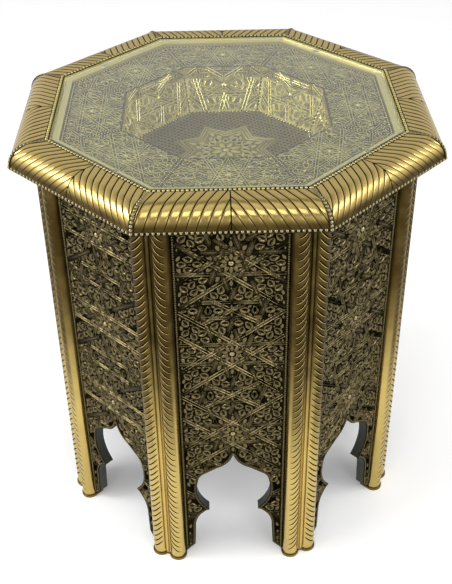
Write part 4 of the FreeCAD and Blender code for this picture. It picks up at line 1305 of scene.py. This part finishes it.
def lattice(level, outline, scale, rise, finish):
    """Straps and leaves of the star lattice at a scale, with a star at a level, cut to an outline."""
    step = Vector((2 * FIELD_HALF, -STAR_PERIOD * math.cos(math.radians(72))))
    middles = [Vector((step.x * column, level / scale + step.y * abs(column) + STAR_PERIOD * row))
               for column in (-1, 0, 1) for row in (-1, 0, 1)]
    outline = [corner / scale for corner in outline]
    lines = cut_straps(middles, FIELD_HALF, outline)
    marks = []
    for spot, turn, room in packed(field_spots(lines, middles, outline)):
        for hand in (1, -1) if spot.x else (1,):
            marks.append((hand * spot.x, spot.y, hand * turn, room / LEAF_HALF_WIDTH))
    marks += set_round(middles, DAISY)
    knots = [Vector((middle.x, middle.y - drop)) for middle in middles for drop in (0, HALF_PERIOD)]
    parts = [strap_work(lines, finish, rise=rise, **FINE_STRAPS)]
    parts.append(leaf_work(marks, outline, OPEN_RINGS, finish))
    parts += boss_work(knots, outline, FINE_BOSS, finish)
    return moved(joined(parts), Matrix.Scale(scale, 4))


def field_outline(low, high, half_low, half_high):
    """A symmetric field between two levels, in millimetres, as an outline."""
    right_edge = [Vector((half_low, low)), Vector((half_high, high))]
    return mirrored(right_edge[:1]) + right_edge + mirrored(right_edge[1:])


print("strap width in the tray:", FINE_STRAPS["width"])

# %% Tray fields
TRAY_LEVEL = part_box("tray_sheets")[1].z
TRAY_FRAME = Matrix.Translation((0, 0, TRAY_LEVEL)) @ Matrix.Rotation(math.pi, 4, "Z")
TRAY_STAR = 154.0
TRAY_SCALE = 0.85
TRAY_RISE = 0.40 * MM
TRAY_LOW = 119.5
TRAY_HIGH = 180.0
TRAY_EDGE = 182.0
MITRE_MARGIN = 3.0
SEAM_PEARLS = 4.6 * MM, 0.8 * MM, 3.4 * MM, 5
SEAM_BEAD = 0.2
EDGE_PEARLS = 2.8 * MM, 1.0 * MM, 4.2 * MM, 6

tray_halves = [level * SLANT - MITRE_MARGIN for level in (TRAY_LOW, TRAY_HIGH)]
tray_field = field_outline(TRAY_LOW, TRAY_HIGH, *tray_halves)
tray_work = lattice(TRAY_STAR, tray_field, TRAY_SCALE, TRAY_RISE, tray_relief_brass)
keep("tray_lattice", around(moved(tray_work, TRAY_FRAME), smooth=False), "tray_brass")

seam_line = [Vector((level * SLANT, level, 0)) * MM for level in (TRAY_HIGH, TRAY_LOW)]
edge_line = [Vector((hand * TRAY_EDGE * SLANT, TRAY_EDGE, 0)) * MM for hand in (-1, 1)]
tray_rows = joined([pearl_row([seam_line], tray_relief_brass, *SEAM_PEARLS, bead=SEAM_BEAD),
                    pearl_row([edge_line], tray_relief_brass, *EDGE_PEARLS, edging=LOW_EDGING)])
keep("tray_pearls", around(moved(tray_rows, TRAY_FRAME)), "tray_brass")

# %% Walls and collar of the well
WELL_MOUTH = 117.0 * MM
WALL_TOP = Vector((0, -118.5, 515.1)) * MM
WALL_FOOT = Vector((0, -104.0, 474.9)) * MM
WALL_STAR = 33.0 + HALF_PERIOD
WALL_RISE = 0.52 * MM
WALL_LOW = 2.5
WALL_HIGH = 1.5
WALL_MARGIN = 2.5
CORNER_PEARLS = 3.6 * MM, 1.2 * MM, 4.4 * MM, 6
COLLAR_RISE = 0.5 * MM
COLLAR_LOW = 1.5
COLLAR_HIGH = 1.0
COLLAR_MARGIN = 2.0
LEFTWARDS = Vector((-1, 0, 0))

slope = WALL_TOP - WALL_FOOT
wall_up = slope.normalized()
wall_frame = framed(WALL_FOOT, LEFTWARDS, wall_up, LEFTWARDS.cross(wall_up))
wall_halves = [-end.y * SLANT for end in (WALL_FOOT, WALL_TOP)]
wall_field = field_outline(WALL_LOW, slope.length / MM - WALL_HIGH,
                           *(half / MM - WALL_MARGIN for half in wall_halves))
wall_work = lattice(WALL_STAR, wall_field, 1.0, WALL_RISE, wall_relief_brass)
corner_line = [(wall_halves[0], 0, 0), (wall_halves[1], slope.length, 0)]
corner_row = pearl_row([corner_line], wall_relief_brass, *CORNER_PEARLS, edging=LOW_EDGING)
keep("well_wall_lattice", around(moved(wall_work, wall_frame), smooth=False), "tray_brass")
keep("well_wall_pearls", around(moved(corner_row, wall_frame)), "tray_brass")

collar_frame = framed((0, -WELL_MOUTH, WALL_TOP.z), LEFTWARDS, (0, 0, 1), (0, 1, 0))
collar_height = (TRAY_LEVEL - WALL_TOP.z) / MM
collar_half = WELL_MOUTH * SLANT / MM - COLLAR_MARGIN
collar_field = field_outline(COLLAR_LOW, collar_height - COLLAR_HIGH, collar_half, collar_half)
collar_star = collar_height + TRAY_SCALE * STAR_POINT
collar_work = lattice(collar_star, collar_field, TRAY_SCALE, COLLAR_RISE, wall_relief_brass)
keep("well_collar_lattice", around(moved(collar_work, collar_frame), smooth=False), "tray_brass")

# %% Star on the well's floor
FLOOR_FRAME = Matrix.Translation((0, 0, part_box("well_floor_sheet")[1].z))
STAR_OUTER = 64.0
STAR_INNER = 45.0
STAR_INSET = 38.9
STAR_LINES = 0, 3.2, 7.4
LINE_HALF = 0.95 * MM
LINE_SECTION = {"Rise": 0.9, "Fullness": 1.0, "Finish": tray_relief_brass}
# A ring of the rosette is a radius, the angle of its first leaf, the leaves' turn and their size.
PETAL_CIRCLES = [(12, 22.5, 0, 14), (43, 22.5, 0, 12), (34, 13, 30, 10), (34, 32, -30, 10)]
DROP_CIRCLES = [(27, 22.5, 0, 14), (23, 0, 0, 12)]
MIDDLE_BOSS = 4.0
MIDDLE_SIDES = 12


def zigzag(inset):
    """The eight-pointed star's outline, moved inwards, in millimetres."""
    scale = 1 - inset / STAR_INSET
    reach = [STAR_OUTER * scale, STAR_INNER * scale] * SIDES
    turns = [TURN / 2 * (k + 1) for k in range(2 * SIDES)]
    return [Vector((math.cos(turn), math.sin(turn))) * radius for turn, radius in zip(turns, reach)]


outlines = [in_metres(zigzag(inset)) for inset in STAR_LINES]
borders = drawn(outlines, closed=True, half_width=[[LINE_HALF] * len(line) for line in outlines])
floor_parts = [shaped(borders, rib_tree, LINE_SECTION)]
for circles, rings in ((PETAL_CIRCLES, PETAL_RINGS), (DROP_CIRCLES, DROP_RINGS)):
    marks = [polar(radius, 360 / SIDES * k + first, turn, size)
             for radius, first, turn, size in circles for k in range(SIDES)]
    leaf = leaf_shape(*rings, tray_relief_brass)
    floor_parts.append(scattered(marks, leaf, LEAF_HEIGHT, tray_relief_brass))
boss = low_dome(1.0, FINE_BOSS, MIDDLE_SIDES, tray_relief_brass)
floor_parts.append(scattered([(0, 0, 0, MIDDLE_BOSS)], boss, BOSS_RUBBED, tray_relief_brass))
keep("well_floor_star", moved(joined(floor_parts), FLOOR_FRAME), "tray_brass")

# %% Dimples and pearls of the well's floor
DOT_PITCH = 4.8
DOT_STRETCH = 1.6
DOT_ROWS = 0.87
DOT_TURN = Matrix.Rotation(math.radians(-24), 2)
DOT_REACH = range(-26, 27)
DIMPLE_RISE = 0.4 * MM
DIMPLE_BED = 0.03 * MM
DIMPLE_RINGS = [(1.0, DIMPLE_RISE), (0.72, DIMPLE_RISE), (0.62, DIMPLE_BED), (0.3, DIMPLE_BED)]
DIMPLE_SIDES = 8
DIMPLE_SIZE = 2.6
FLOOR_EDGE = 98.0
STAR_MARGIN = 3.0
FOOT_PEARLS = 3.0 * MM, 1.2 * MM, 4.4 * MM, 6
FOOT_ACROSS = 102.0 * MM

star_edge = zigzag(-STAR_MARGIN)
dimples = []
for row, column in itertools.product(DOT_REACH, repeat=2):
    spot = DOT_TURN @ Vector((column + 0.5 * (row % 2), row * DOT_ROWS)) * DOT_PITCH
    spot.y *= DOT_STRETCH
    reach = max(spot.x * math.cos(TURN * k) + spot.y * math.sin(TURN * k) for k in range(SIDES))
    if reach < FLOOR_EDGE and not inside(spot, star_edge):
        dimples.append((spot.x, spot.y, 0, DIMPLE_SIZE))
dimple = turned_shape(DIMPLE_RINGS, DIMPLE_SIDES, dimple_brass)
dimple_work = joined([scattered(dimples, dimple, DIMPLE_RISE, dimple_brass)])
keep("well_floor_dimples", moved(dimple_work, FLOOR_FRAME), "tray_brass")

foot_line = level_line(FOOT_ACROSS * SLANT, FOOT_ACROSS)
foot_row = pearl_row(foot_line, wall_relief_brass, *FOOT_PEARLS, edging=LOW_EDGING)
foot_row = moved(foot_row, FLOOR_FRAME @ Matrix.Rotation(math.pi, 4, "Z"))
keep("well_floor_pearls", around(foot_row), "bead_brass", "well_floor_beads")

# %% [markdown]
# ## Nicks on the columns
# A chisel has cut a ladder of slanting nicks into each lobe, from the gutter down towards the crown, and left
# a plain strip beside the panel. A cut is a narrow dark sliver and throws up a thin bright burr along its
# lower edge. Both are drawn on the unrolled lobe and bent round it with the tree that bent the rim. Each
# panel's right lobe mirrors its left one.

# %% Nick the lobes
LOBE_RADIUS = 9.8 * MM
LOBE_MIDDLE = Vector((-72.5, -205.5, 0)) * MM
LOBE_FRAME = framed(LOBE_MIDDLE + Vector((LOBE_RADIUS, 0, 0)), (0, 0, 1), (0, -1, 0), (1, 0, 0))
ROUND_LOBE = {"Flat Width": 0.0, "Round Radius": LOBE_RADIUS}
NICK_PITCH = 9.2 * MM
NICK_FIRST = 20 * MM
NICK_COUNT = 53
NICK_DROP = 13 * MM
NICK_START = math.radians(152) * LOBE_RADIUS
NICK_END = math.radians(68) * LOBE_RADIUS
NICK_SHARES = [step / 7 for step in range(8)]
NICK_CURVE = 1.5
NICK_TIP = 0.2
NICK_SKEW = 0.6
CUT_STROKE = {"lower": 0, "lift": 0.05 * MM, "half_width": 1.2 * MM}
CUT_SECTION = {"Rise": 0.06, "Fullness": 1.0, "Finish": cut_brass}
BURR_STROKE = {"lower": 1.1 * MM, "lift": 0.02 * MM, "half_width": 0.38 * MM}
BURR_SECTION = {"Rise": 0.8, "Fullness": 1.0, "Finish": burr_brass}


def nick_lines(lower, lift, half_width):
    """Curved strokes up one unrolled lobe: x is the height and y runs round from the panel's side."""
    lines = []
    for k in range(NICK_COUNT):
        top = NICK_FIRST + k * NICK_PITCH + NICK_DROP / 2
        lines.append([(top - lower - NICK_DROP * (1 - (1 - share) ** NICK_CURVE),
                       NICK_START + (NICK_END - NICK_START) * share, lift) for share in NICK_SHARES])
    swells = [math.sin(math.pi * share ** NICK_SKEW) for share in NICK_SHARES]
    widths = [half_width * (NICK_TIP + (1 - NICK_TIP) * swell) for swell in swells]
    return drawn(lines, half_width=[widths] * NICK_COUNT)


def on_lobes(stroke, section):
    """Bends strokes round a lobe, adds the mirrored lobe and turns both to every side."""
    flat = shaped(nick_lines(**stroke), rib_tree, section)
    left = moved(shaped(show("flat_nicks", flat), bend_tree, ROUND_LOBE), LOBE_FRAME)
    return around(joined([left, moved(left, MIRROR)]))


keep("column_nicks", on_lobes(CUT_STROKE, CUT_SECTION), "column_brass")
keep("column_burrs", on_lobes(BURR_STROKE, BURR_SECTION), "column_brass")
